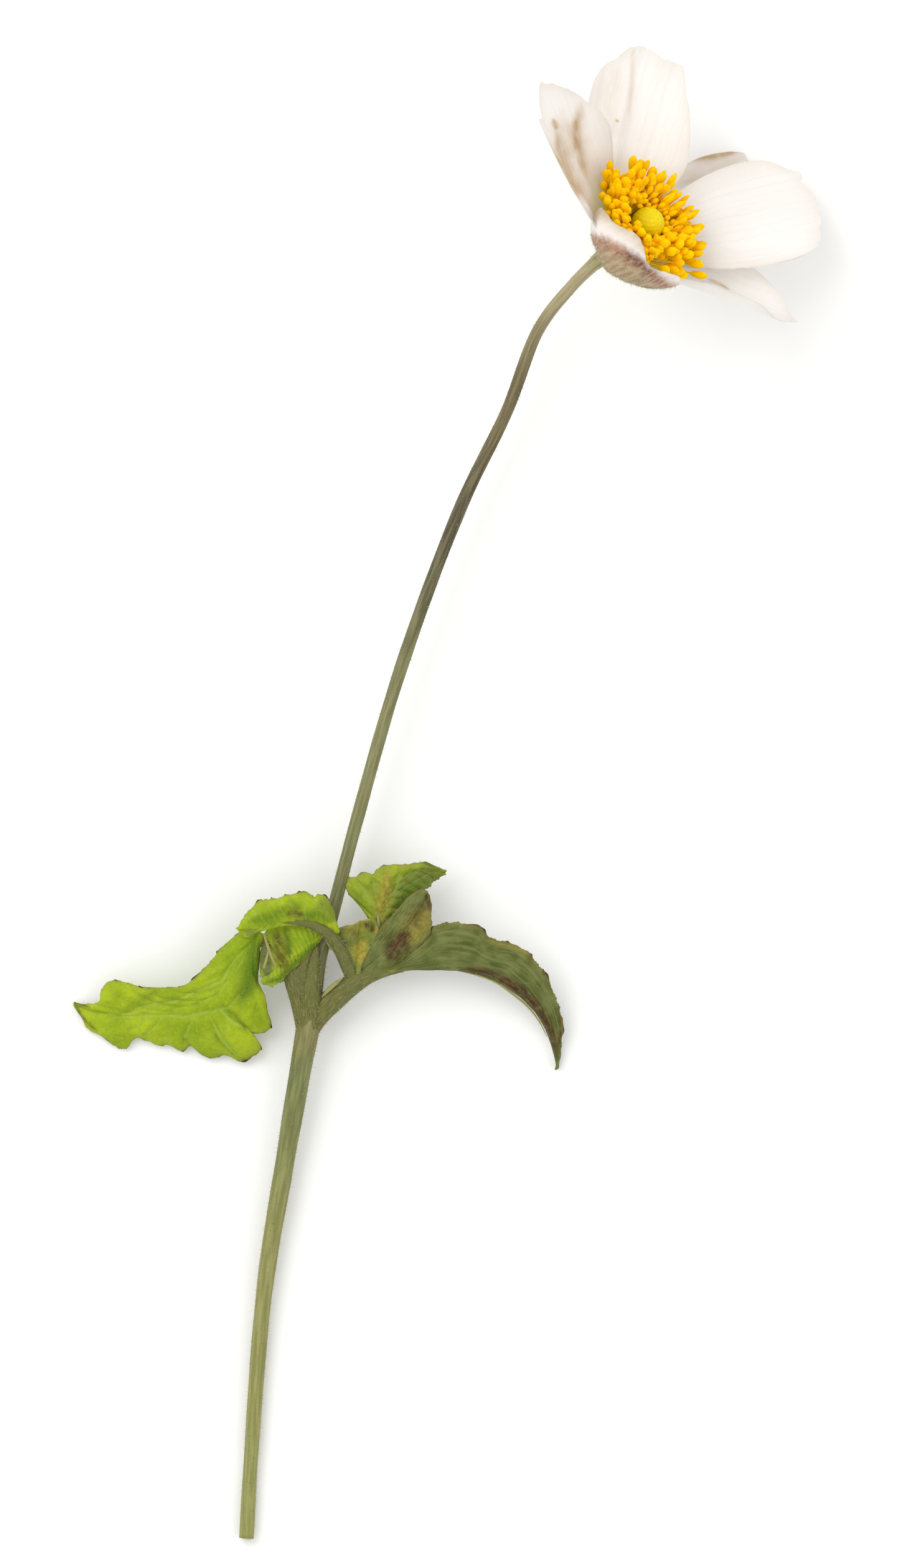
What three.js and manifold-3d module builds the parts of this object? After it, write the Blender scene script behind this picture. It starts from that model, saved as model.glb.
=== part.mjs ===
// Japanese anemone flower, picked with its stalk, leafy joint and upper stem, and laid on a surface.
// Millimetres, +Z up. It lies along +Y with its cut end at -Y, and its face looks up and towards +X and +Y.
// The origin is at the centre of its footprint, on the surface that it lies on.

import * as THREE from 'three';
import { mergeVertices } from 'three/addons/utils/BufferGeometryUtils.js';
import Module from 'manifold-3d';

const wasm = await Module();
wasm.setup();

const DEGREE = Math.PI / 180;

// ---------------------------------------------------------------- driving dimensions

const CLEARANCE = 0.3; // between two pieces that touch on the real flower
const FOOTPRINT_CENTRE = [-1.2, -0.2]; // x and y of the footprint's middle, in the places given below

// Stem: the centreline from the cut end up to the flower base, each point with the stem's radius there.
const STEM_SIDES = 10;
const STEM_STEP = 3.2; // length of one ring of the stem
const STEM_PATH = [
  // x, y, z, radius
  [-29.2, -104.2, 1.0, 1.0],
  [-28.5, -92.0, 1.2, 1.0],
  [-26.6, -68.8, 1.9, 1.15],
  [-23.9, -52.0, 2.8, 1.35],
  [-21.6, -38.5, 3.9, 1.5],
  [-20.4, -31.5, 4.6, 1.65],
  [-20.0, -27.0, 5.0, 1.9],
  [-18.8, -22.5, 5.3, 1.25],
  [-17.5, -18.0, 5.6, 0.95],
  [-14.2, -5.4, 6.2, 0.9],
  [-7.6, 17.5, 6.8, 0.9],
  [0.9, 40.4, 7.0, 0.9],
  [7.3, 53.7, 7.2, 0.87],
  [11.7, 65.0, 8.8, 0.85],
  [16.4, 71.0, 12.2, 0.85],
  [20.0, 74.5, 14.9, 0.95],
];

// Bloom: where the stalk widens into the flower base, and the way the flower faces.
const BLOOM_SEAT = [20.0, 74.5, 14.9];
const BLOOM_TURN = 35.5; // degrees from +X round to +Y
const BLOOM_LIFT = 30; // degrees above the surface

// Flower base: a knob on the flower's own axis, from its foot inside the stalk up to its flat top.
const BASE_SIDES = 14;
const BASE_RADIUS = 2.5;
const BASE_HEIGHT = 7.0;
const BASE_PROFILE = [
  // radius, height above the seat
  [0, -0.8],
  [0.6, -0.8],
  [1.3, 0.3],
  [2.3, 1.4],
  [BASE_RADIUS, 2.0],
  [BASE_RADIUS, 6.6],
  [1.8, BASE_HEIGHT],
  [0, BASE_HEIGHT],
];

// Tepals grow round the base in three whorls, one above the other. Angles are in degrees:
// azimuth is the way the tepal points, rise its mean slope, curl how far it bends up along its length,
// roll its tilt about its own midline and twist how much more it is tilted at the tip.
// cup is its radius of curvature across, sway how far the tip leans sideways, widest the share of the length
// where it is widest, claw the share of the width at its foot, and a low tip value makes a blunt tip.
const TEPAL_THICKNESS = 0.5;
const TEPAL_ROWS = 11;
const TEPAL_COLUMNS = 8;
const TEPAL_FULLNESS = 2.2; // how far past the widest place the outline stays full
const TIP_WIDTH = 0.06; // share of the full width left at the very tip
const WHORL_HEIGHTS = [2.5, 3.45, 4.4];

const TEPALS = [
  {
    name: 'tepal_top', azimuth: 53, whorl: 1, length: 25.8, width: 18.2, rise: 40, curl: 22,
    cup: 18, roll: -4, twist: -24, sway: 1.4, widest: 0.54, claw: 0.22, tip: 0.45,
  },
  {
    name: 'tepal_left', azimuth: 113, whorl: 2, length: 26.5, width: 16, rise: 27, curl: 12,
    cup: 13, roll: 0, twist: -26, sway: 2.4, widest: 0.6, claw: 0.2, tip: 0.5,
  },
  {
    name: 'tepal_front', azimuth: 193, whorl: 0, length: 20, width: 19, rise: 45, curl: 62,
    cup: 8.5, roll: 0, twist: 0, sway: 0, widest: 0.52, claw: 0.24, tip: 0.5,
  },
  {
    name: 'tepal_lower_right', azimuth: -67, whorl: 1, length: 24.8, width: 15, rise: 28, curl: 0,
    cup: 7, roll: -10, twist: 0, sway: 0, widest: 0.55, claw: 0.22, tip: 0.9,
  },
  {
    name: 'tepal_right', azimuth: -26, whorl: 2, length: 28, width: 18, rise: 36, curl: 0,
    cup: 20, roll: 0, twist: 0, sway: 0, widest: 0.65, claw: 0.22, tip: 0.42,
  },
  {
    name: 'tepal_right_back', azimuth: -10, whorl: 0, length: 26, width: 14, rise: 28, curl: 0,
    cup: 14, roll: 0, twist: 0, sway: 0, widest: 0.6, claw: 0.26, tip: 0.45,
  },
];

// Bract leaves: a stalk, given as x, y, z and radius, and lobes joined into one blade. Each lobe is a strip
// along its midrib, given as x, y, z, then width and angle of the half to its left, then of the half to its
// right. An angle of 0 is level and 90 is upright.
const LEAF_THICKNESS = 0.6;
const LOBE_COLUMNS = 6;
const ROWS_PER_STATION = 2;
const STALK_SIDES = 8;
const STALK_STEP = 1.5;
const BRACTS = [
  {
    name: 'bract_leaf_right',
    stalk: [
      [-20.0, -30.3, 4.6, 1.3],
      [-18.0, -29.6, 5.0, 1.3],
      [-15.8, -28.2, 5.4, 1.2],
      [-13.8, -26.3, 5.8, 1.0],
      [-11.5, -24.8, 6.0, 0.8],
    ],
    lobes: [
      // long lobe, folded along its midrib, that arches out and down to the surface
      [
        [-13.8, -26.3, 5.8, 0.8, 40, 0.8, -145],
        [-9.5, -24.6, 6.4, 3.6, 40, 3.2, -150],
        [-2.2, -24.3, 6.6, 6.8, 40, 5.6, -152],
        [2.0, -24.8, 6.1, 7.6, 38, 6.4, -158],
        [6.0, -26.3, 5.0, 6.6, 34, 5.6, -164],
        [9.6, -28.8, 3.6, 5.2, 28, 4.2, -170],
        [12.4, -32.0, 2.0, 3.6, 20, 2.6, -178],
        [14.2, -37.4, 0.4, 0.5, 0, 0.5, -180],
      ],
      // upright side lobe
      [
        [-13.8, -26.3, 5.8, 0.8, 10, 0.8, 30],
        [-9.8, -22.0, 6.8, 2.2, 0, 2.8, 40],
        [-7.0, -18.2, 7.8, 2.0, 0, 3.2, 40],
        [-3.7, -13.6, 8.6, 0.5, 0, 0.6, 30],
      ],
      // small fan lobe
      [
        [-13.8, -26.0, 5.6, 0.8, 0, 0.8, 0],
        [-13.0, -21.5, 5.6, 1.2, 10, 1.0, 0],
        [-10.8, -18.4, 6.0, 3.6, 10, 1.2, -10],
        [-8.4, -15.4, 6.6, 5.4, 5, 2.2, -20],
        [-5.0, -12.2, 6.6, 3.4, 0, 2.0, -20],
        [-1.6, -10.8, 6.0, 0.5, 0, 0.5, 0],
      ],
      // lobe that crosses in front of the flower stalk
      [
        [-13.8, -25.6, 5.9, 0.7, 0, 0.7, 0],
        [-16.2, -21.0, 7.8, 1.0, 0, 1.2, 0],
        [-19.0, -18.0, 8.8, 1.0, -20, 3.2, 10],
        [-23.6, -18.0, 9.2, 1.2, -20, 4.6, 10],
        [-27.6, -18.9, 8.8, 1.2, -10, 3.6, 10],
        [-30.2, -19.4, 8.4, 0.4, 0, 0.8, 0],
      ],
    ],
  },
  {
    name: 'bract_leaf_left',
    stalk: [
      [-20.4, -29.0, 4.9, 1.2],
      [-22.8, -26.8, 5.6, 1.1],
      [-24.2, -24.6, 6.4, 0.9],
      [-25.6, -22.2, 7.1, 0.8],
      [-26.8, -20.8, 7.2, 0.7],
    ],
    lobes: [
      // large lobe that bends over and comes down to the surface
      [
        [-26.0, -21.6, 7.1, 0.9, 0, 0.9, 0],
        [-29.0, -23.7, 6.8, 5.0, -30, 2.2, 10],
        [-33.0, -27.9, 5.6, 9.4, -28, 4.6, 12],
        [-38.0, -30.3, 4.4, 6.4, -22, 3.6, 16],
        [-43.6, -30.7, 3.2, 4.2, -18, 4.0, 18],
        [-49.0, -30.4, 2.0, 3.2, -14, 4.4, 14],
        [-53.4, -29.6, 0.4, 0.6, 0, 0.6, 0],
      ],
      // small pleated lobe beside the flower stalk
      [
        [-22.4, -27.6, 5.2, 0.7, 0, 0.7, 0],
        [-22.4, -24.6, 4.6, 2.6, 0, 1.6, -30],
        [-21.8, -22.0, 4.2, 3.0, 0, 2.4, -30],
        [-20.9, -18.8, 3.8, 0.8, 0, 0.8, 0],
      ],
    ],
  },
];

// Stamens stand round the flower base in a spiral, the outer ones low and spread, the inner ones steep.
const STAMEN_COUNT = 44;
const STAMEN_SPIRAL = 137.508; // degrees from one to the next
const STAMEN_FOOT_RADIUS = BASE_RADIUS + CLEARANCE;
const STAMEN_FOOT_LOW = 5.1;
const STAMEN_FOOT_HIGH = 6.4;
const STAMEN_LENGTH_OUTER = 10.2;
const STAMEN_LENGTH_INNER = 7.0;
const STAMEN_RISE_OUTER = 44;
const STAMEN_RISE_INNER = 77;
const STAMEN_CURL = 14;
const PRESSED_AZIMUTH = 160; // where the front tepal presses the stamens down
const PRESSED_SPREAD = 1.5; // a higher value presses fewer of them
const PRESSED_RISE_OUTER = 36;
const PRESSED_RISE_INNER = 44;
const PRESSED_LENGTH = 8.6;
const STAMEN_SIDES = 5;
const FILAMENT_RADIUS = 0.15;
const ANTHER_RADIUS = 0.5;
const STAMEN_PROFILE = [
  // share of the length, radius: a thin filament, then the anther
  [0, FILAMENT_RADIUS],
  [0.35, FILAMENT_RADIUS],
  [0.65, FILAMENT_RADIUS],
  [0.8, FILAMENT_RADIUS],
  [0.86, ANTHER_RADIUS],
  [0.94, ANTHER_RADIUS],
  [1, 0.5 * ANTHER_RADIUS],
];

// Carpel head: the ball in the middle of the flower.
const CARPEL_RADIUS = 2.3;
const CARPEL_SIDES = 14;
const CARPEL_RINGS = 9;

// ---------------------------------------------------------------- finishes

const STEM_GREEN = new THREE.MeshStandardMaterial({ color: 0x7c8455, roughness: 0.7, metalness: 0 });
const CARPEL_GREEN = new THREE.MeshStandardMaterial({ color: 0xb7bf2a, roughness: 0.6, metalness: 0 });
const TEPAL_WHITE = new THREE.MeshStandardMaterial({ color: 0xf5f0ed, roughness: 0.6, metalness: 0 });
const STAMEN_YELLOW = new THREE.MeshStandardMaterial({ color: 0xffb400, roughness: 0.7, metalness: 0 });
const LEAF_GREEN = new THREE.MeshStandardMaterial({ color: 0x86b01c, roughness: 0.6, metalness: 0 });

// ---------------------------------------------------------------- shape helpers

// A closed geometry of vertices and triangles, turned so that its faces point out.
function closedGeometry(vertices, triangles) {
  let volume = 0;
  for (const [a, b, c] of triangles) volume += vertices[a].dot(vertices[b].clone().cross(vertices[c])) / 6;
  const faces = volume < 0 ? triangles.map(([a, b, c]) => [a, c, b]) : triangles;
  const geometry = new THREE.BufferGeometry().setFromPoints(vertices);
  geometry.setIndex(faces.flat());
  geometry.computeVertexNormals();
  return geometry;
}

// A thin sheet as a solid: middle(length, side) is its middle surface, with half the thickness on each side.
function sheetGeometry(middle, rows, columns, thickness) {
  const centre = [];
  for (let i = 0; i <= rows; i++) {
    for (let j = 0; j <= columns; j++) centre.push(middle(i / rows, (2 * j) / columns - 1));
  }
  const width = columns + 1;
  const clamp = THREE.MathUtils.clamp;
  const at = (i, j) => centre[clamp(i, 0, rows) * width + clamp(j, 0, columns)];
  const vertices = [];
  for (const side of [1, -1]) {
    for (let i = 0; i <= rows; i++) {
      for (let j = 0; j <= columns; j++) {
        const along = at(i + 1, j).clone().sub(at(i - 1, j));
        const across = at(i, j + 1).clone().sub(at(i, j - 1));
        const normal = along.cross(across).normalize();
        vertices.push(at(i, j).clone().addScaledVector(normal, (side * thickness) / 2));
      }
    }
  }
  const below = (rows + 1) * width;
  const triangles = [];
  for (let i = 0; i < rows; i++) {
    for (let j = 0; j < columns; j++) {
      const a = i * width + j;
      triangles.push([a, a + width, a + 1], [a + 1, a + width, a + width + 1]);
      triangles.push([a + below, a + 1 + below, a + width + below]);
      triangles.push([a + 1 + below, a + width + 1 + below, a + width + below]);
    }
  }
  const rim = [];
  for (let j = 0; j < columns; j++) rim.push(j);
  for (let i = 0; i < rows; i++) rim.push(i * width + columns);
  for (let j = columns; j > 0; j--) rim.push(rows * width + j);
  for (let i = rows; i > 0; i--) rim.push(i * width);
  rim.forEach((a, k) => {
    const b = rim[(k + 1) % rim.length];
    triangles.push([a, b, a + below], [b, b + below, a + below]);
  });
  return closedGeometry(vertices, triangles);
}

// A closed round tube: a ring of sides round each point of a path, with the radius given there.
function tubeGeometry(points, radii, sides) {
  const vertices = [];
  let across = null;
  points.forEach((point, i) => {
    const before = points[Math.max(i - 1, 0)];
    const after = points[Math.min(i + 1, points.length - 1)];
    const along = after.clone().sub(before).normalize();
    if (!across) across = new THREE.Vector3(0, 0, 1).cross(along);
    if (across.lengthSq() < 1e-6) across = new THREE.Vector3(1, 0, 0);
    across = across.clone().addScaledVector(along, -across.dot(along)).normalize();
    const up = along.clone().cross(across);
    for (let k = 0; k < sides; k++) {
      const angle = (2 * Math.PI * k) / sides;
      vertices.push(
        point.clone()
          .addScaledVector(across, radii[i] * Math.cos(angle))
          .addScaledVector(up, radii[i] * Math.sin(angle)),
      );
    }
  });
  const first = vertices.push(points[0].clone()) - 1;
  const last = vertices.push(points[points.length - 1].clone()) - 1;
  const triangles = [];
  for (let i = 0; i < points.length - 1; i++) {
    for (let k = 0; k < sides; k++) {
      const a = i * sides + k;
      const b = i * sides + ((k + 1) % sides);
      triangles.push([a, b, a + sides], [b, b + sides, a + sides]);
    }
  }
  for (let k = 0; k < sides; k++) {
    const next = (k + 1) % sides;
    const end = (points.length - 1) * sides;
    triangles.push([first, next, k], [last, end + k, end + next]);
  }
  return closedGeometry(vertices, triangles);
}

// A smooth curve through hand-set points that start with x, y, z.
function smoothCurve(stations) {
  const points = stations.map(([x, y, z]) => new THREE.Vector3(x, y, z));
  return new THREE.CatmullRomCurve3(points, false, 'centripetal');
}

// A smooth path through hand-set points [x, y, z, radius], cut into steps of about the given length.
function smoothPath(stations, step) {
  const curve = smoothCurve(stations);
  const spans = stations.length - 1;
  const points = [];
  const radii = [];
  for (let i = 0; i < spans; i++) {
    const pieces = Math.max(1, Math.round(curve.points[i].distanceTo(curve.points[i + 1]) / step));
    for (let k = 0; k < pieces; k++) {
      const share = THREE.MathUtils.smoothstep(k / pieces, 0, 1);
      points.push(curve.getPoint((i + k / pieces) / spans));
      radii.push(THREE.MathUtils.lerp(stations[i][3], stations[i + 1][3], share));
    }
  }
  points.push(curve.getPoint(1));
  radii.push(stations[spans][3]);
  return { points, radii };
}

// Geometry to solid and back, for the joins and cuts.
function solidOf(geometry) {
  const bare = geometry.clone();
  bare.deleteAttribute('normal');
  bare.deleteAttribute('uv');
  const merged = mergeVertices(bare, 1e-4);
  return new wasm.Manifold(
    new wasm.Mesh({
      numProp: 3,
      vertProperties: new Float32Array(merged.attributes.position.array),
      triVerts: new Uint32Array(merged.index.array),
    }),
  );
}

function geometryOf(solid) {
  const mesh = solid.getMesh();
  const geometry = new THREE.BufferGeometry();
  geometry.setAttribute('position', new THREE.BufferAttribute(new Float32Array(mesh.vertProperties), 3));
  geometry.setIndex(new THREE.BufferAttribute(new Uint32Array(mesh.triVerts), 1));
  geometry.computeVertexNormals();
  return geometry;
}

function namedMesh(name, geometry, material) {
  const mesh = new THREE.Mesh(geometry, material);
  mesh.name = name;
  return mesh;
}

// ---------------------------------------------------------------- tepals

// Share of the full width at a share of the length: a narrow claw, a wide middle and a rounded tip.
function tepalOutline(share, tepal) {
  if (share < tepal.widest) {
    return tepal.claw + (1 - tepal.claw) * Math.sin((Math.PI / 2) * (share / tepal.widest));
  }
  const past = (share - tepal.widest) / (1 - tepal.widest);
  return Math.max(TIP_WIDTH, (1 - past ** TEPAL_FULLNESS) ** tepal.tip);
}

// A point of a tepal that grows along +X, inner face up: it rises along its length and is cupped across.
function tepalPoint(length, side, tepal) {
  const share = Math.sin((Math.PI / 2) * length);
  const start = (tepal.rise - tepal.curl / 2) * DEGREE;
  const bend = Math.max(tepal.curl, 0.01) * DEGREE;
  const angle = start + bend * share;
  const x = (tepal.length * (Math.sin(angle) - Math.sin(start))) / bend;
  const z = (tepal.length * (Math.cos(start) - Math.cos(angle))) / bend;
  const roll = (tepal.roll + tepal.twist * share) * DEGREE;
  const reach = (side * tepalOutline(share, tepal) * tepal.width) / 2;
  const lateral = tepal.cup * Math.sin(reach / tepal.cup);
  const lift = tepal.cup * (1 - Math.cos(reach / tepal.cup));
  const sideways = lateral * Math.cos(roll) - lift * Math.sin(roll);
  const upwards = lateral * Math.sin(roll) + lift * Math.cos(roll);
  return new THREE.Vector3(
    BASE_RADIUS + CLEARANCE + x - upwards * Math.sin(angle),
    sideways + tepal.sway * share ** 2,
    z + upwards * Math.cos(angle),
  );
}

function makeTepal(tepal) {
  const middle = (length, side) => tepalPoint(length, side, tepal);
  const geometry = sheetGeometry(middle, TEPAL_ROWS, TEPAL_COLUMNS, TEPAL_THICKNESS);
  const mesh = namedMesh(tepal.name, geometry, TEPAL_WHITE);
  mesh.position.z = WHORL_HEIGHTS[tepal.whorl];
  mesh.rotation.z = tepal.azimuth * DEGREE;
  return mesh;
}

// ---------------------------------------------------------------- stamens and carpels

function makeStamen(index) {
  const inward = index / (STAMEN_COUNT - 1);
  const turned = Math.cos((index * STAMEN_SPIRAL - PRESSED_AZIMUTH) * DEGREE);
  const pressed = Math.max(turned, 0) ** PRESSED_SPREAD;
  const lerp = THREE.MathUtils.lerp;
  const length = lerp(lerp(STAMEN_LENGTH_OUTER, STAMEN_LENGTH_INNER, inward), PRESSED_LENGTH, pressed);
  const freeRise = lerp(STAMEN_RISE_OUTER, STAMEN_RISE_INNER, inward);
  const rise = lerp(freeRise, lerp(PRESSED_RISE_OUTER, PRESSED_RISE_INNER, inward), pressed);
  const point = new THREE.Vector3(STAMEN_FOOT_RADIUS, 0, 0);
  const points = STAMEN_PROFILE.map(([share], i) => {
    if (i > 0) {
      const run = (share - STAMEN_PROFILE[i - 1][0]) * length;
      const angle = (rise + STAMEN_CURL * (share - 0.5)) * DEGREE;
      point.add(new THREE.Vector3(run * Math.cos(angle), 0, run * Math.sin(angle)));
    }
    return point.clone();
  });
  const radii = STAMEN_PROFILE.map(([, radius]) => radius);
  const name = 'stamen_' + String(index + 1).padStart(2, '0');
  const mesh = namedMesh(name, tubeGeometry(points, radii, STAMEN_SIDES), STAMEN_YELLOW);
  mesh.position.z = lerp(STAMEN_FOOT_LOW, STAMEN_FOOT_HIGH, inward);
  mesh.rotation.z = index * STAMEN_SPIRAL * DEGREE;
  return mesh;
}

function makeCarpelHead() {
  const ball = new THREE.SphereGeometry(CARPEL_RADIUS, CARPEL_SIDES, CARPEL_RINGS).rotateX(Math.PI / 2);
  const mesh = namedMesh('carpel_head', ball, CARPEL_GREEN);
  mesh.position.z = BASE_HEIGHT + CLEARANCE + CARPEL_RADIUS;
  return mesh;
}

// ---------------------------------------------------------------- bloom

const bloom = new THREE.Group();
bloom.position.set(...BLOOM_SEAT);
bloom.rotation.set(0, (90 - BLOOM_LIFT) * DEGREE, BLOOM_TURN * DEGREE, 'ZYX');
bloom.updateMatrix();
bloom.add(makeCarpelHead());
for (const tepal of TEPALS) bloom.add(makeTepal(tepal));
for (let index = 0; index < STAMEN_COUNT; index++) bloom.add(makeStamen(index));

// ---------------------------------------------------------------- bract leaves

// A point of a lobe: the halves of the blade leave the midrib to its left and right at their own angles.
function lobePoint(length, side, stations) {
  const curve = smoothCurve(stations);
  const place = length * (stations.length - 1);
  const from = Math.min(Math.floor(place), stations.length - 2);
  const mix = (column) => {
    return THREE.MathUtils.lerp(stations[from][column], stations[from + 1][column], place - from);
  };
  const along = curve.getTangent(length);
  const left = new THREE.Vector3(-along.y, along.x, 0).normalize();
  const up = along.clone().cross(left);
  const width = side > 0 ? mix(3) : mix(5);
  const angle = (side > 0 ? mix(4) : mix(6)) * DEGREE;
  return curve.getPoint(length)
    .addScaledVector(left, side * width * Math.cos(angle))
    .addScaledVector(up, Math.abs(side) * width * Math.sin(angle));
}

function makeBract(bract, stemRoom) {
  const stalk = smoothPath(bract.stalk, STALK_STEP);
  let leaf = solidOf(tubeGeometry(stalk.points, stalk.radii, STALK_SIDES));
  for (const stations of bract.lobes) {
    const middle = (length, side) => lobePoint(length, side, stations);
    const rows = ROWS_PER_STATION * (stations.length - 1);
    leaf = leaf.add(solidOf(sheetGeometry(middle, rows, LOBE_COLUMNS, LEAF_THICKNESS)));
  }
  return namedMesh(bract.name, geometryOf(leaf.subtract(stemRoom)), LEAF_GREEN);
}

// ---------------------------------------------------------------- stem

// The stem as a plain tube, widened all round by the given amount.
function stemTube(widened) {
  const { points, radii } = smoothPath(STEM_PATH, STEM_STEP);
  return solidOf(tubeGeometry(points, radii.map((radius) => radius + widened), STEM_SIDES));
}

function makeStem() {
  const profile = BASE_PROFILE.map(([radius, height]) => new THREE.Vector2(radius, height));
  const base = new THREE.LatheGeometry(profile, BASE_SIDES).rotateX(Math.PI / 2).applyMatrix4(bloom.matrix);
  return namedMesh('stem', geometryOf(stemTube(0).add(solidOf(base))), STEM_GREEN);
}

// ---------------------------------------------------------------- whole flower

const flower = new THREE.Group();
const stemRoom = stemTube(CLEARANCE);
flower.add(makeStem(), bloom);
for (const bract of BRACTS) flower.add(makeBract(bract, stemRoom));
flower.position.set(-FOOTPRINT_CENTRE[0], -FOOTPRINT_CENTRE[1], 0);

export default flower;
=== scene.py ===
# %% [markdown]
# # A picked Japanese anemone on a pale table
# One bloom lies on its side: a bent stalk, a leafy joint with two bract leaves, and six petal-like tepals
# round a ring of stamens and a green ball of carpels. Every piece is a surface worked out with numpy from a
# few real sizes in millimetres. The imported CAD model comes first, because each piece stands for one of its
# nodes and has to lie where that node lies.

import bpy
import numpy as np
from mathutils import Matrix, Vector


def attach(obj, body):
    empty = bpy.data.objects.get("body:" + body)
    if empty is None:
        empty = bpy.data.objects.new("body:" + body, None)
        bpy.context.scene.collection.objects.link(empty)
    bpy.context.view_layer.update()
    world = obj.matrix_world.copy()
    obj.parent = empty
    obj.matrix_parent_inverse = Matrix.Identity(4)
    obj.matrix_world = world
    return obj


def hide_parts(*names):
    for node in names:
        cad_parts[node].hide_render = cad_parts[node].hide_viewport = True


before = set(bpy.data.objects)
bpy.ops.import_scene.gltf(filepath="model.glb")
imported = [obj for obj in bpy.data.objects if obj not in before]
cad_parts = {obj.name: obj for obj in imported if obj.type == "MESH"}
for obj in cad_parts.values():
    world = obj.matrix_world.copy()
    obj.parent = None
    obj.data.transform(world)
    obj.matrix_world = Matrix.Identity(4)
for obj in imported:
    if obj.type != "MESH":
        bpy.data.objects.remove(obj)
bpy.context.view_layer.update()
MM = 0.001
PLACE = np.array([1.2, 0.2, 0.0])  # from the places written below to the frame, in mm
dice = np.random.default_rng(11)  # one seed, so each run grows the same flower

# %% [markdown]
# ## Curves, tubes and sheets
# A flower is made of rods and thin sheets, so three helpers carry the whole model. A smooth curve runs
# through a few given points. A tube puts a ring round each point of a path. A sheet takes a middle
# surface and pushes it out to both sides, which gives a closed skin with a rim. All of them work on whole
# arrays, so a surface stays a formula and needs no loop over its vertices.


# %% Curves
def smooth_curve(points, places):
    """Points of a curve through given points, at places counted in points from 0. Between two points it is
    the cubic whose slope at each point blends the steps before and after it, each divided by the square root
    of its length, so that points set close together make no loop."""
    points = np.asarray(points, float)
    ends = np.vstack([2 * points[0] - points[1], points, 2 * points[-1] - points[-2]])
    gaps = np.sqrt(np.linalg.norm(np.diff(ends[:, :3], axis=0), axis=1)) + 1e-9
    places = np.clip(places, 0, len(points) - 1)
    start = np.minimum(places.astype(int), len(points) - 2)
    u = (places - start)[..., None]
    before, here, after = (gaps[start + k][..., None] for k in range(3))
    p0, p1, p2, p3 = (ends[start + k] for k in range(4))
    slope_1 = ((p1 - p0) / before - (p2 - p0) / (before + here) + (p2 - p1) / here) * here
    slope_2 = ((p2 - p1) / here - (p3 - p1) / (here + after) + (p3 - p2) / after) * here
    return (
        (2 * u**3 - 3 * u**2 + 1) * p1
        + (u**3 - 2 * u**2 + u) * slope_1
        + (3 * u**2 - 2 * u**3) * p2
        + (u**3 - u**2) * slope_2
    )


def rail(points, share):
    """The same curve by share of its length, from 0 to 1, so that two rails with different numbers of points
    can run side by side."""
    points = np.asarray(points, float)
    run = np.concatenate([[0], np.cumsum(np.linalg.norm(np.diff(points[:, :3], axis=0), axis=1))])
    return smooth_curve(points, np.interp(share * run[-1], run, np.arange(len(points))))


def bell(distance, width):
    """A soft bump: 1 at distance 0, and near 0 at twice the width."""
    return np.exp(-((distance / width) ** 2))


def turn(angle):
    """The matrix of a turn about the z axis."""
    return np.array([[np.cos(angle), -np.sin(angle), 0], [np.sin(angle), np.cos(angle), 0], [0, 0, 1]])


print("halfway along a bent rail:", rail([(0, 0, 0), (1, 1, 0), (3, 1, 0)], np.array([0.5]))[0].round(2))


# %% Tubes and sheets
def quads(number):
    """Four-cornered faces between neighbouring entries of a grid of vertex numbers."""
    corners = number[:-1, :-1], number[1:, :-1], number[1:, 1:], number[:-1, 1:]
    return np.stack([c.ravel() for c in corners], axis=1)


def sheet(middle, thickness, **fields):
    """A closed thin sheet. Each point of the middle surface goes half the thickness along the normal, which is
    the cross product of the steps along the rows and across the columns, to both sides. A rim joins the two.
    fields are values on the grid that the finish reads later, and upper is 1 on the side the normal leaves."""
    normal = np.cross(np.gradient(middle, axis=0), np.gradient(middle, axis=1))
    normal /= np.linalg.norm(normal, axis=2, keepdims=True) + 1e-12
    push = normal * np.broadcast_to(thickness, middle.shape[:2])[..., None] / 2
    number = np.arange(middle[..., 0].size).reshape(middle.shape[:2])
    edge = np.concatenate([number[0, :-1], number[:-1, -1], number[-1, :0:-1], number[:0:-1, 0]])
    ahead = np.roll(edge, -1)
    rim = np.stack([edge, ahead, ahead + number.size, edge + number.size], axis=1)
    faces = np.vstack([quads(number), quads(number + number.size)[:, ::-1], rim])
    fields["upper"] = np.ones(number.shape)
    both = {key: np.tile(np.broadcast_to(value, number.shape).ravel(), 2) for key, value in fields.items()}
    both["upper"][number.size :] = 0
    return np.vstack([(middle + push).reshape(-1, 3), (middle - push).reshape(-1, 3)]), faces, both


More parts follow.
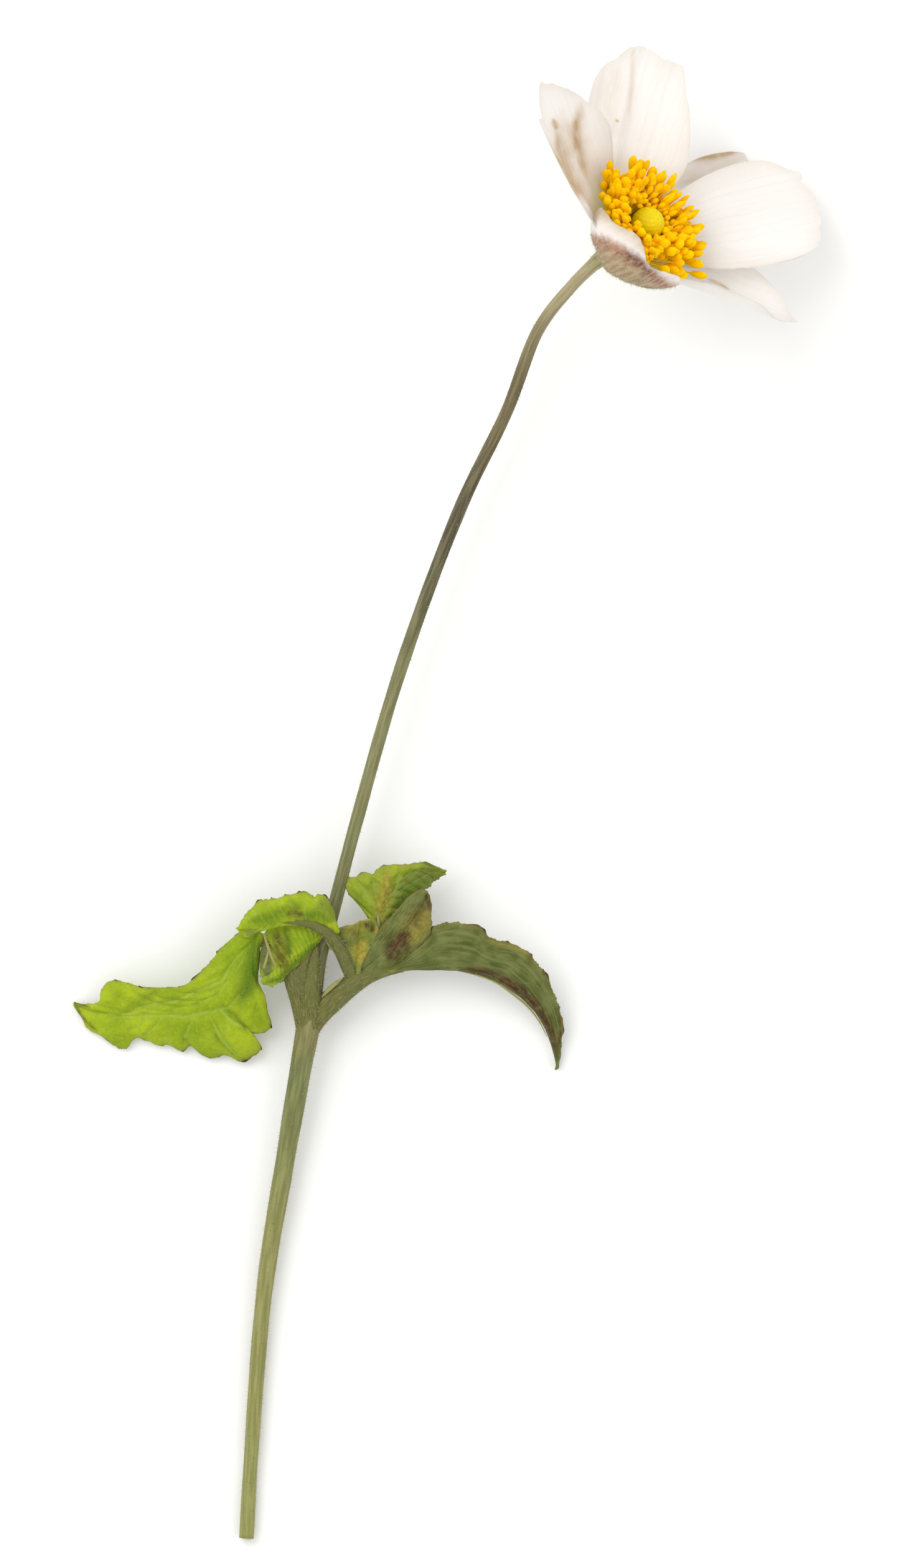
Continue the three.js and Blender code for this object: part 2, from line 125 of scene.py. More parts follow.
def tube(path, radii, sides, reference=(0, 0, 1), **fields):
    """A closed round tube. The ring at each path point is radius * (cos angle * left + sin angle * up), where
    left is square to the path and to the reference direction, and up is square to both. radii may hold one
    value for each point, or a value for each side of each ring."""
    path = np.asarray(path, float)
    along = np.gradient(path, axis=0)
    along /= np.linalg.norm(along, axis=1, keepdims=True)
    left = np.cross(np.asarray(reference, float), along)
    left /= np.linalg.norm(left, axis=1, keepdims=True)
    up = np.cross(along, left)
    angle = np.linspace(0, 2 * np.pi, sides, endpoint=False)
    radii = np.broadcast_to(np.asarray(radii, float).reshape(len(path), -1), (len(path), sides))
    ring = left[:, None] * np.cos(angle)[:, None] + up[:, None] * np.sin(angle)[:, None]
    surface = path[:, None] + ring * radii[..., None]
    number = np.arange(len(path) * sides).reshape(len(path), sides)
    wrapped = np.hstack([number, number[:, :1]])
    first, last = number.size, number.size + 1
    caps = [(first, b, a) for a, b in zip(wrapped[0], wrapped[0, 1:])]
    caps += [(last, a, b) for a, b in zip(wrapped[-1], wrapped[-1, 1:])]
    vertices = np.vstack([surface.reshape(-1, 3), path[:1], path[-1:]])
    spread = {}
    for key, value in fields.items():
        value = np.broadcast_to(np.asarray(value, float).reshape(len(path), -1), number.shape)
        spread[key] = np.concatenate([value.ravel(), value[0, :1], value[-1, :1]])
    return vertices, quads(wrapped)[:, ::-1].tolist() + caps, spread


def face_list(faces):
    """Faces as a plain list."""
    return faces.tolist() if isinstance(faces, np.ndarray) else faces


def merge(parts):
    """Several shapes as one: vertices, faces and fields one after the other. A field a shape lacks is 0."""
    names = sorted({name for part in parts for name in part[2]})
    offsets = np.cumsum([0] + [len(part[0]) for part in parts[:-1]])
    faces = [[v + offset for v in face] for part, offset in zip(parts, offsets) for face in face_list(part[1])]
    fields = {n: np.concatenate([part[2].get(n, np.zeros(len(part[0]))) for part in parts]) for n in names}
    return np.vstack([part[0] for part in parts]), faces, fields


def make_piece(name, shape, material, slot, *stands_for):
    """A smooth-shaded object from a shape in mm, riding on the one body and standing for its CAD nodes."""
    vertices, faces, fields = shape
    mesh = bpy.data.meshes.new(name)
    mesh.from_pydata(((vertices + PLACE) * MM).tolist(), [], face_list(faces))
    for key, values in fields.items():
        mesh.attributes.new(key, "FLOAT", "POINT").data.foreach_set("value", values.astype(np.float32))
    mesh.shade_smooth()
    mesh.materials.append(material)
    piece = bpy.data.objects.new(name, mesh)
    bpy.context.scene.collection.objects.link(piece)
    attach(piece, "root")
    if stands_for:
        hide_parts(*stands_for)
    return piece


print("a six-sided tube with two rings has", len(tube([(0, 0, 0), (0, 1, 0)], [1, 1], 6)[1]), "faces")


# %% [markdown]
# ## Materials from nodes
# Plant tissue has no paint on it: its colour comes from pigment under a clear skin, so each finish mixes a
# few leaf, petal or pollen colours by noise and by fields that the surfaces carry, such as vein or stain. An
# image could be wrapped round each piece, but nodes stay sharp close up and need no seams. Patterns are sized
# in real millimetres. One small function adds every node, and three kinds come back often: Math reckons with
# two or three numbers, Map Range with a soft step turns a value between two limits into a strength, and Mix
# lays one colour over another by that strength.


# %% Material helpers
def linear(colour):
    """sRGB hex text to the linear colour that shaders work in."""
    channels = np.array([int(colour[k : k + 2], 16) for k in (1, 3, 5)]) / 255
    return (*np.where(channels <= 0.04045, channels / 12.92, ((channels + 0.055) / 1.055) ** 2.4), 1.0)


def per_mm(size):
    """Texture scale that makes a pattern's feature about this many millimetres wide."""
    return 1 / (size * MM)


def add(material, kind, inputs=(), out=0, **settings):
    """Adds one shader node and gives back one of its outputs, by number or name. settings are the node's own
    properties. inputs is a tuple for the first sockets in order, or maps a socket's number or name to what
    goes in: a plain value, sRGB hex text, or another node's output, which is linked."""
    node = material.node_tree.nodes.new("ShaderNode" + kind)
    for key, value in settings.items():
        setattr(node, key, value)
    for key, value in inputs.items() if isinstance(inputs, dict) else enumerate(inputs):
        if isinstance(value, bpy.types.NodeSocket):
            material.node_tree.links.new(value, node.inputs[key])
        else:
            node.inputs[key].default_value = linear(value) if isinstance(value, str) else value
    return node.outputs[out] if node.outputs else None


def new_material(name):
    """An empty material."""
    material = bpy.data.materials.new(name)
    material.use_nodes = True
    material.node_tree.nodes.clear()
    return material


FACTOR, MIX_A, MIX_B = 0, 6, 7  # sockets of a colour Mix node
COLOURS = {"data_type": "RGBA", "out": 2}  # makes a Mix node mix colours and gives back its colour
SOFT_STEP = {"interpolation_type": "SMOOTHSTEP"}  # makes a Map Range node ease in and out
print("white in linear light:", linear("#FFFFFF")[:3])

# %% [markdown]
# ## Stem
# The stem, the leafy joint, the flower stalk and the knob that carries the flower grew as one rod, so one
# tube follows them all. It could be a bevelled curve, but then its thickness could not change round the
# ring. Here the radius is a function of the place along the rod and of the angle, which adds a swelling at
# the joint, shallow ribs and slow lumps.

# %% Stem sizes
STEM_PATH = [
    # x, y, z, radius
    (-29.2, -104.2, 1.0, 1.0),
    (-28.5, -92.0, 1.2, 1.0),
    (-26.6, -68.8, 1.9, 1.15),
    (-23.9, -52.0, 2.8, 1.35),
    (-21.6, -38.5, 3.9, 1.5),
    (-20.4, -31.5, 4.6, 1.65),
    (-20.0, -27.0, 5.0, 1.6),
    (-18.9, -22.5, 5.3, 1.05),
    (-17.5, -18.0, 5.6, 0.95),
    (-14.2, -5.4, 6.2, 0.9),
    (-7.6, 17.5, 6.8, 0.9),
    (0.9, 40.4, 7.0, 0.9),
    (7.3, 53.7, 7.2, 0.87),
    (11.7, 65.0, 8.8, 0.85),
    (16.4, 71.0, 12.2, 0.85),
    (20.0, 74.5, 14.9, 0.95),
]
# height above the bloom's seat, radius
KNOB_PROFILE = [(1.4, 1.4), (2.1, 2.2), (2.8, 2.5), (6.2, 2.5), (6.8, 2.1), (7.0, 1.5), (7.0, 0.5)]
KNOB_RINGS = 26
RIBS = [(7, 0.025), (12, 0.015)]  # how many ribs round the stem, and their share of its radius
LUMPS = 0.03  # share of the radius
BLOOM_SEAT = np.array(STEM_PATH[-1][:3])
BLOOM_TURN, BLOOM_LIFT = np.radians([35.5, 30])
BASE_RADIUS = max(radius for _, radius in KNOB_PROFILE)
BASE_HEIGHT = KNOB_PROFILE[-1][0]
CLEARANCE = 0.3  # mm between the knob and what grows on it
BLOOM_FRAME = turn(BLOOM_TURN) @ np.array(
    [
        [np.sin(BLOOM_LIFT), 0, np.cos(BLOOM_LIFT)],
        [0, 1, 0],
        [-np.cos(BLOOM_LIFT), 0, np.sin(BLOOM_LIFT)],
    ]
)  # its columns are the flower's own x, y and axis
BLOOM_AXIS = BLOOM_FRAME[:, 2]
print("the joint is", 2 * max(radius for *_, radius in STEM_PATH), "mm thick")


def in_bloom(points):
    """From the flower's own frame, with +Z along its axis, to the places on the table."""
    return points @ BLOOM_FRAME.T + BLOOM_SEAT


# %% Stem shape
def stem_shape(sides=36, step=0.55):
    """A tube along the stem and on up the flower's axis. Its radius is the smooth radius along the path, times
    1 plus shallow ribs round it and slow lumps along it."""
    reach = int(np.sum(np.linalg.norm(np.diff(np.array(STEM_PATH)[:, :3], axis=0), axis=1)) / step)
    stalk = rail(STEM_PATH, np.linspace(0, 1, reach))[:-2]
    knob = np.array([(*(BLOOM_SEAT + BLOOM_AXIS * height), radius) for height, radius in KNOB_PROFILE])
    path = np.vstack([stalk, rail(np.vstack([stalk[-1], knob]), np.linspace(0, 1, KNOB_RINGS))[1:]])
    along = np.concatenate([[0], np.cumsum(np.linalg.norm(np.diff(path[:, :3], axis=0), axis=1))])
    angle = np.linspace(0, 2 * np.pi, sides, endpoint=False)
    (few, coarse), (many, fine) = RIBS
    ribs = coarse * np.cos(few * angle) + fine * np.cos(many * angle + 0.06 * along[:, None])
    lumps = LUMPS * np.sin(along[:, None] / 2.3 + 2 * np.sin(angle)) * np.sin(along[:, None] / 7.1)
    radii = path[:, 3:] * (1 + ribs + lumps)
    share = np.broadcast_to(along[:, None] / along[-1], radii.shape)
    around = np.broadcast_to(angle, radii.shape)
    return tube(path[:, :3], radii, sides, along=share, around=around)


stem = stem_shape()
print("stem:", len(stem[0]), "vertices")

# %% [markdown]
# ## Tepals
# A Japanese anemone has no true petals: six tepals, thin as tissue, do their work. Each one is a strip with a
# narrow claw at its foot. It could be sculpted, but a formula keeps all six related: the tepal bends up along
# its length, curves across like a shallow bowl, twists a little, and its tip is a blunt arch with a nick or
# two. Creases and ripples are added to the lift, and the skin thins towards the rim.

# %% Tepal sizes
TEPAL_FULLNESS = 2.2  # of the arch at the tip
WHORL_HEIGHTS = (2.5, 3.45, 4.4)  # storeys of tepals, in mm above the bloom's seat
TEPAL_RIM, TEPAL_BODY, TEPAL_CLAW = 0.09, 0.16, 0.2  # thickness at the rim, and what the body and the claw add
# How far, in mm, the blade waves: one half against the other, along the rim, across the tip, in the fine frill
# of the rim and in the ridges from claw to tip. The tip is also ragged by a fraction of a millimetre.
LEANS, RIM_WAVES, TIP_WAVES, FRILL, RIDGES, RAGGED = 0.35, 0.4, 0.22, 0.03, 0.035, 0.12
# Angles are in degrees and sizes in mm. azimuth is the direction round the flower's axis and whorl the storey on
# which the tepal stands. It rises at rise, bends by curl along its length and by a radius of cup across it, rolls,
# twists, and sways sideways towards its tip. It is widest at a share of its length, its claw is a share of its
# width, and tip says how blunt it ends. trim takes a share off its half on the + side. A nick is a place across
# the tip, how deep it cuts (or, below 0, how far the tip sticks out there) and how wide it is. A crease is a
# place across the tepal, its height and its width.
TEPALS = {
    "tepal_top": dict(
        azimuth=53, whorl=1, length=25.8, width=18.2, rise=40, curl=22, cup=18, roll=-4, twist=-24, sway=1.4,
        widest=0.54, claw=0.22, tip=0.41, trim=0.0,
        nicks=[
            (0.68, 1.0, 0.16), (0.3, -0.1, 0.12), (-0.1, 0.45, 0.15), (-0.44, -0.5, 0.08), (-0.66, 1.5, 0.11),
            (-0.86, 2.9, 0.17), (-1.0, 2.4, 0.15),
        ],
        creases=[(0.3, 0.7, 0.1), (-0.35, -0.25, 0.2), (0.75, -0.3, 0.12)],
    ),
    "tepal_left": dict(
        azimuth=113, whorl=2, length=26.5, width=16, rise=27, curl=12, cup=13, roll=0, twist=-26, sway=2.4,
        widest=0.5, claw=0.52, tip=0.5, trim=-0.18,
        nicks=[(0.22, -1.9, 0.13), (0.5, 1.3, 0.08), (0.64, -0.5, 0.06), (-0.3, 0.9, 0.2), (-0.75, 3.6, 0.4)],
        creases=[(0.1, 0.6, 0.12), (0.6, 0.5, 0.1), (-0.4, -0.3, 0.2)],
    ),
    "tepal_front": dict(
        azimuth=193, whorl=0, length=20, width=19, rise=45, curl=62, cup=8.5, roll=0, twist=0, sway=0, widest=0.52,
        claw=0.24, tip=0.5, trim=0.0,
        nicks=[(0.2, 1.9, 0.3), (0.75, -0.8, 0.16), (-0.62, 1.6, 0.2), (-1.0, 5.0, 0.3)],
        creases=[(0.1, -0.4, 0.12), (-0.5, 0.3, 0.15), (0.6, 0.4, 0.12)],
    ),
    "tepal_lower_right": dict(
        azimuth=-69.5, whorl=1, length=24.8, width=15, rise=28, curl=0, cup=7, roll=-10, twist=0, sway=0,
        widest=0.55, claw=0.28, tip=0.9, trim=0.0,
        nicks=[(-0.5, 0.3, 0.1)],
        creases=[(-0.3, 0.4, 0.1), (0.4, -0.3, 0.15)],
    ),
    "tepal_right": dict(
        azimuth=-26, whorl=2, length=28, width=18, rise=36, curl=0, cup=20, roll=0, twist=0, sway=0, widest=0.65,
        claw=0.22, tip=0.42, trim=0.1,
        nicks=[(0.62, -1.0, 0.1), (0.4, 0.5, 0.08), (0.1, -0.3, 0.15), (-0.45, 0.5, 0.1), (-0.8, -0.3, 0.1)],
        creases=[(0.15, 0.35, 0.12), (-0.5, -0.25, 0.15), (0.65, -0.3, 0.12)],
    ),
    "tepal_right_back": dict(
        azimuth=-10, whorl=0, length=26, width=14, rise=28, curl=0, cup=14, roll=0, twist=0, sway=0, widest=0.6,
        claw=0.26, tip=0.45, trim=0.0,
        nicks=[(0.75, -1.8, 0.2), (0.35, -0.8, 0.12), (0.1, 0.5, 0.1)],
        creases=[(0.4, 0.4, 0.12), (-0.4, -0.3, 0.15)],
    ),
}
print("longest tepal:", max(tepal["length"] for tepal in TEPALS.values()), "mm")

# %% Bruises, painted fold shade and the back of the bud
# Bruises, and painted shade along folds and over shaded rims, that show from above: x and y in mm, the width of the
# mark and its strength.
BRUISES_AND_FOLD_SHADE = {
    "tepal_top": [
        # painted shade along the crease and over the greyer left half; the short mark is a brown spot
        ([(24.8, 104.2), (24.5, 99.2), (24.1, 94.0)], 0.3, 0.3),
        ([(22.5, 94.1), (22.6, 93.7)], 0.2, 0.9),
        ([(21.4, 101.5), (21.6, 97.0), (22.4, 91.0)], 2.6, 0.16),
    ],
    "tepal_left": [
        # tan bruise streaks with painted shade along the folds, a wide band of painted shade, and a dark spot
        ([(17.4, 95.6), (16.7, 92.0), (17.0, 89.4), (18.2, 85.6)], 1.0, 0.5),
        ([(16.7, 93.8), (16.6, 91.2), (16.9, 89.2)], 0.5, 0.5),
        ([(14.0, 91.4), (14.6, 88.0), (15.6, 85.0), (17.8, 82.0)], 1.0, 0.6),
        ([(14.8, 94.0), (15.8, 88.0), (17.8, 83.0)], 3.0, 0.3),
        ([(13.4, 93.3), (13.9, 91.9)], 0.35, 1.2),
    ],
    "tepal_right_back": [
        # a brown fold edge, and a broad tan wash that is partly painted shade
        ([(32.8, 88.8), (36.0, 89.4), (40.0, 90.3)], 0.5, 0.8),
        ([(31, 84.5), (35, 86.8), (41, 88.8)], 3.0, 0.3),
    ],
    # painted shade over the rim band of the front tepal
    "tepal_front": [([(17.8, 81.6), (21.0, 80.2), (24.2, 78.2), (26.2, 75.8), (28.4, 73.4)], 1.5, 0.6)],
    # painted shade where the near half of the tepal curls under
    "tepal_lower_right": [([(35.1, 71.8), (37.0, 71.0), (38.2, 70.2)], 0.2, 0.7)],
}
# The darkest streak on the back of the front tepal, in x and y, and its width.
DARK_STREAK = [(23.6, 75.3), (25.6, 73.6), (27.1, 72.7), (28.4, 71.9)]
DARK_STREAK_WIDTH = 1.1
# The outer tepal was the outside of the bud: its back is purple-brown up to this line, in x and y.
BUD_LINE = np.array(
    [
        (17.5, 79.0), (19.0, 78.0), (21.2, 77.1), (23.5, 75.7), (25.4, 74.5), (26.4, 73.3), (29.4, 71.2),
        (31.0, 70.6),
    ],
)
BUD_REACH = 3.0  # how far above the line its field reaches, in mm; below it the field reaches twice as far
print("bruises and folds:", {name: len(strokes) for name, strokes in BRUISES_AND_FOLD_SHADE.items()})


# %% Tepal outline and ripple
def tepal_outline(tepal, length, side):
    """Where the points of a tepal lie, as a share of its length and in mm to the side. The tip is the arch
    widest + (1 - widest) * (1 - |side|**(1/tip))**(1/fullness), less its nicks. The width grows as a quarter of
    a sine wave from the claw to the widest place."""
    arch = (1 - np.abs(side) ** (1 / tepal["tip"])) ** (1 / TEPAL_FULLNESS)
    arch = tepal["widest"] + (1 - tepal["widest"]) * arch
    ragged = RAGGED * np.sin(37 * side + tepal["azimuth"]) * np.sin(11 * side)
    for place, depth, width in tepal["nicks"]:
        ragged = ragged + depth * bell(side - place, width)
    share = length * (arch - ragged / tepal["length"])
    outline = np.sin(np.pi / 2 * np.minimum(share / tepal["widest"], 1))
    half = tepal["width"] / 2 * np.where(side > 0, 1 - tepal["trim"], 1)
    return share, side * (tepal["claw"] + (1 - tepal["claw"]) * outline) * half


def tepal_ripple(tepal, length, side, share):
    """What waves, ridges and creases add to the lift, in mm. Each wave is a sine of side or share. A crease is a
    bell across the tepal, as long as the tepal, that fades out at both ends."""
    phase = tepal["azimuth"] / 20
    rim = np.abs(side) ** 3
    ripple = LEANS * share * np.sin(3 * side + phase) * np.abs(side)
    ripple += RIM_WAVES * share**2 * rim * np.sin(9 * share + phase + 2 * np.sign(side))
    ripple += TIP_WAVES * length**6 * np.sin(9 * side + phase) + FRILL * rim * np.sin(41 * share + 5 * side)
    ripple += RIDGES * np.sin(np.pi * 11 * side + phase + 2 * np.sin(3 * share)) * np.sin(np.pi * length) ** 0.5
    for place, depth, width in tepal["creases"]:
        crease = bell(side - place - 0.05 * np.sin(5 * share + phase), width)
        ripple += depth * crease * np.sin(np.pi * share**0.8)
    return ripple


example = np.linspace(-1, 1, 41)
example = tepal_ripple(TEPALS["tepal_top"], 0.9, example, 0.9)
print("near its tip the top tepal waves by", round(example.max() - example.min(), 1), "mm")


# %% Marks on a surface
def stroke(surface, points, width):
    """1 along a given line seen from above and near 0 at twice the width from it, narrower at its ends."""
    flat = surface[..., None, :2]
    start, step = np.array(points)[:-1], np.diff(np.array(points), axis=0)
    along = np.clip(((flat - start) * step).sum(axis=-1) / (step**2).sum(axis=-1), 0, 1)
    distance = np.linalg.norm(flat - start - along[..., None] * step, axis=-1)
    nearest = distance.argmin(axis=-1)
    place = (nearest + np.take_along_axis(along, nearest[..., None], axis=-1)[..., 0]) / len(step)
    fade = np.minimum(1, 0.35 + 5 * np.minimum(place, 1 - place))
    return fade * bell(distance.min(axis=-1), width * (0.35 + 0.65 * np.sin(np.pi * place) ** 0.7))


def tepal_marks(name, middle):
    """How strongly each point of a tepal is bruised and painted with fold shade, how far below the bud line it lies
    in mm, and how dark its streak is. Only the outer tepal has a bud line and a streak."""
    bruise = np.zeros(middle.shape[:2])
    for points, width, strength in BRUISES_AND_FOLD_SHADE.get(name, []):
        bruise = bruise + strength * stroke(middle, points, width)
    below = np.interp(middle[..., 0], *BUD_LINE.T) - middle[..., 1]
    is_outer = name == "tepal_front"
    bud = np.clip(below, -BUD_REACH, 2 * BUD_REACH) if is_outer else np.full_like(below, -BUD_REACH)
    streak = stroke(middle, DARK_STREAK, DARK_STREAK_WIDTH) * is_outer
    return dict(bruise=np.minimum(bruise, 1), bud=bud, streak=streak)


here = np.array([[[*DARK_STREAK[1], 0.0]]])
print("on its second point the streak is", stroke(here, DARK_STREAK, DARK_STREAK_WIDTH).round(2).item())


# %% Tepal shape
def tepal_shape(name, rows=96, columns=72):
    """A tepal as a sheet. side runs from -1 to 1 across it, and share from 0 at the claw to 1 at the tip. The
    midline is an arc whose slope goes from rise - curl/2 to rise + curl/2. Across it the strip is an arc of
    radius cup, rolled about the midline by roll + twist * share, and the ripple adds to its lift."""
    tepal = TEPALS[name]
    length = np.sin(np.linspace(0, np.pi / 2, rows + 1))[:, None]
    side = np.sin(np.linspace(-np.pi / 2, np.pi / 2, columns + 1))[None]
    share, reach = tepal_outline(tepal, length, side)
    start, bend = np.radians(tepal["rise"] - tepal["curl"] / 2), np.radians(max(tepal["curl"], 0.01))
    slope = start + bend * share
    forward = tepal["length"] * (np.sin(slope) - np.sin(start)) / bend
    height = tepal["length"] * (np.cos(start) - np.cos(slope)) / bend
    roll = np.radians(tepal["roll"] + tepal["twist"] * share)
    across = tepal["cup"] * np.sin(reach / tepal["cup"])
    lift = tepal["cup"] * (1 - np.cos(reach / tepal["cup"])) + tepal_ripple(tepal, length, side, share)
    sideways = across * np.cos(roll) - lift * np.sin(roll) + tepal["sway"] * share**2
    upwards = across * np.sin(roll) + lift * np.cos(roll)
    out = BASE_RADIUS + CLEARANCE + forward - upwards * np.sin(slope)
    up = WHORL_HEIGHTS[tepal["whorl"]] + height + upwards * np.cos(slope)
    middle = in_bloom(np.stack([out, sideways, up], axis=-1) @ turn(np.radians(tepal["azimuth"])).T)
    edge = np.maximum(side**6, length**12)
    thickness = TEPAL_RIM + TEPAL_BODY * (1 - edge) + TEPAL_CLAW * (1 - share) ** 3
    return sheet(middle, thickness, share=share, side=side, edge=edge, **tepal_marks(name, middle))


tepal_shapes = {name: tepal_shape(name) for name in TEPALS}
print("tepals:", {name: len(shape[1]) for name, shape in tepal_shapes.items()}, "faces")

# %% [markdown]
# ## Stamens
# Hundreds of stamens stand in a spiral round the ball: thin pale filaments, each with a fat anther that sheds
# orange-yellow pollen. One could be copied by instancing, but then all anthers would be alike. They are small
# and many, so each is a tube with few sides and a flattened anther, and all of them come out of one formula.
# The outer ones are long and lean out, the inner ones are short and steep.

# %% Stamen sizes
SPIRAL = np.radians(137.508)
CAD_STAMENS = 44
MORE_STAMENS = 170
SHORT_STAMENS = 210  # close round the ball, between the long ones
PRESSED_AZIMUTH = np.radians(160)  # where the front tepal presses the stamens down
CAD_SIDES, MORE_SIDES = 10, 6
OUTER_LENGTH, INNER_LENGTH, PRESSED_LENGTH = 10.2, 7.0, 8.6
OUTER_RISE, INNER_RISE = 44, 77  # degrees above the flat of the bloom
PRESSED_RISE, PRESSED_INNER_RISE = 36, 44
STAMEN_BEND = 14  # degrees from foot to tip
FOOT_HEIGHT, INNER_STEP = 5.1, 1.3  # mm above the seat, and how much higher the inner ones stand
FOOT_OVERLAP = 0.35
# share of the length, radius in mm
STAMEN_PROFILE = np.array(
    [(0, 0.16), (0.4, 0.12), (0.76, 0.12), (0.82, 0.4), (0.88, 0.54), (0.94, 0.53), (0.985, 0.28), (1, 0.06)]
)
ANTHER_START = 0.78
print("thickest part of an anther:", 2 * STAMEN_PROFILE[:, 1].max(), "mm")


# %% Stamen shape
def stamen_shape(azimuth, inward, longer=1.0, lean=0.0, droop=0.0, sides=MORE_SIDES):
    """One stamen. From its foot on the knob it runs on with a slope of rise + bend * (share - 0.5). The rise
    and the length go from those of the outer stamens to those of the inner ones as inward goes from 0 to 1,
    and where the front tepal presses on them, by cos(angle to it)**1.5, to the pressed values."""
    share, radius = STAMEN_PROFILE.T
    own = dice.random()
    pressed = max(np.cos(azimuth - PRESSED_AZIMUTH), 0) ** 1.5
    length = OUTER_LENGTH + (INNER_LENGTH - OUTER_LENGTH) * inward
    length = (length * (1 - pressed) + PRESSED_LENGTH * pressed) * longer
    rise = (OUTER_RISE + (INNER_RISE - OUTER_RISE) * inward) * (1 - pressed) - droop
    rise += (PRESSED_RISE + (PRESSED_INNER_RISE - PRESSED_RISE) * inward) * pressed
    slope = np.radians(rise + STAMEN_BEND * (share - 0.5))
    steps = np.diff(share, prepend=0) * length
    out = BASE_RADIUS + CLEARANCE - FOOT_OVERLAP + np.cumsum(steps * np.cos(slope))
    up = FOOT_HEIGHT + INNER_STEP * inward + np.cumsum(steps * np.sin(slope))
    path = np.stack([out, lean * share**2 * length, up], axis=1) @ turn(azimuth).T
    angle = np.linspace(0, 2 * np.pi, sides, endpoint=False)
    anther = (share > ANTHER_START)[:, None]
    # an anther is wider than it is thick, and each has a size of its own
    swell = 0.78 + 0.3 * own + 0.22 * np.cos(2 * angle + azimuth * 3)
    radii = radius[:, None] * np.where(anther, swell, 1)
    reference = BLOOM_FRAME @ np.array([-np.sin(azimuth), np.cos(azimuth), 0])
    own = np.full(len(share), own)
    return tube(in_bloom(path), radii, sides, reference, share=share, anther=anther * 1.0, own=own)


cad_shapes = [stamen_shape(k * SPIRAL, k / (CAD_STAMENS - 1), sides=CAD_SIDES) for k in range(CAD_STAMENS)]
# how many, range of inward, offset and spread of azimuth, range of longer, spread of lean, mean and spread of droop
more_shapes = [
    stamen_shape(
        (k + offset) * SPIRAL + dice.normal(0, spread), inward, dice.uniform(*longer), dice.normal(0, lean),
        dice.normal(*droop),
    )
    for count, inwards, offset, spread, longer, lean, droop in (
        (MORE_STAMENS, (-0.1, 0.95), 0.5, 0.08, (0.72, 1.06), 0.07, (2, 3)),
        (SHORT_STAMENS, (0.3, 1.2), 0.25, 0.1, (0.55, 0.85), 0.08, (0, 4)),
    )
    for k, inward in enumerate(dice.uniform(*inwards, count))
]
print("stamens:", CAD_STAMENS, "with a CAD node and", len(more_shapes), "more")


# %% [markdown]
# ## Ball of carpels
# The ball in the middle is a crowd of tiny green carpels, packed like seeds in a sunflower head. A plain
# sphere would look like a bead, so each carpel lifts the surface around its own place on a spiral lattice.

# %% Carpel head shape
CARPEL_RADIUS = 2.3
CARPELS = 170
BEAD_HEIGHT = 0.07  # mm, of which about half lies below the radius
BEAD_SINK = 0.03
BEAD_REACH = 0.19  # on a ball of radius 1
POLE_GAP = 0.012  # radians from each pole to the ring next to it


def carpel_head_shape(rings=90, sides=150):
    """A ball whose radius gains height * (1 - (d / reach)**2), with d the distance, on a ball of radius 1, to
    the nearest carpel. The carpels lie on a golden spiral from pole to pole."""
    count = np.arange(CARPELS) + 0.5
    height = 1 - 2 * count / CARPELS
    flat = np.sqrt(1 - height**2)
    places = np.stack([flat * np.cos(count * SPIRAL), flat * np.sin(count * SPIRAL), height], axis=1)
    polar = np.linspace(POLE_GAP, np.pi - POLE_GAP, rings)[:, None]
    angle = np.linspace(0, 2 * np.pi, sides, endpoint=False)[None]
    ring = np.sin(polar)
    ball = np.stack([ring * np.cos(angle), ring * np.sin(angle), np.cos(polar) + 0 * angle], axis=-1)
    cosine = (ball.reshape(-1, 3) @ places.T).max(axis=1).reshape(ball.shape[:2])
    nearest = np.sqrt(np.maximum(2 - 2 * cosine, 0))
    bump = np.clip(1 - (nearest / BEAD_REACH) ** 2, 0, 1)
    radius = CARPEL_RADIUS - BEAD_SINK + BEAD_HEIGHT * bump
    surface = in_bloom(ball * radius[..., None] + [0, 0, BASE_HEIGHT + CLEARANCE + CARPEL_RADIUS])
    number = np.arange(rings * sides).reshape(rings, sides)
    wrapped = np.hstack([number, number[:, :1]])
    poles = np.stack([surface[0].mean(axis=0), surface[-1].mean(axis=0)])
    caps = [(number.size, a, b) for a, b in zip(wrapped[0], wrapped[0, 1:])]
    caps += [(number.size + 1, b, a) for a, b in zip(wrapped[-1], wrapped[-1, 1:])]
    bumps = np.concatenate([bump.ravel(), [1, 1]])
    return np.vstack([surface.reshape(-1, 3), poles]), quads(wrapped).tolist() + caps, {"bump": bumps}


carpel_head = carpel_head_shape()
print("ball of carpels:", len(carpel_head[0]), "vertices for", CARPELS, "carpels")
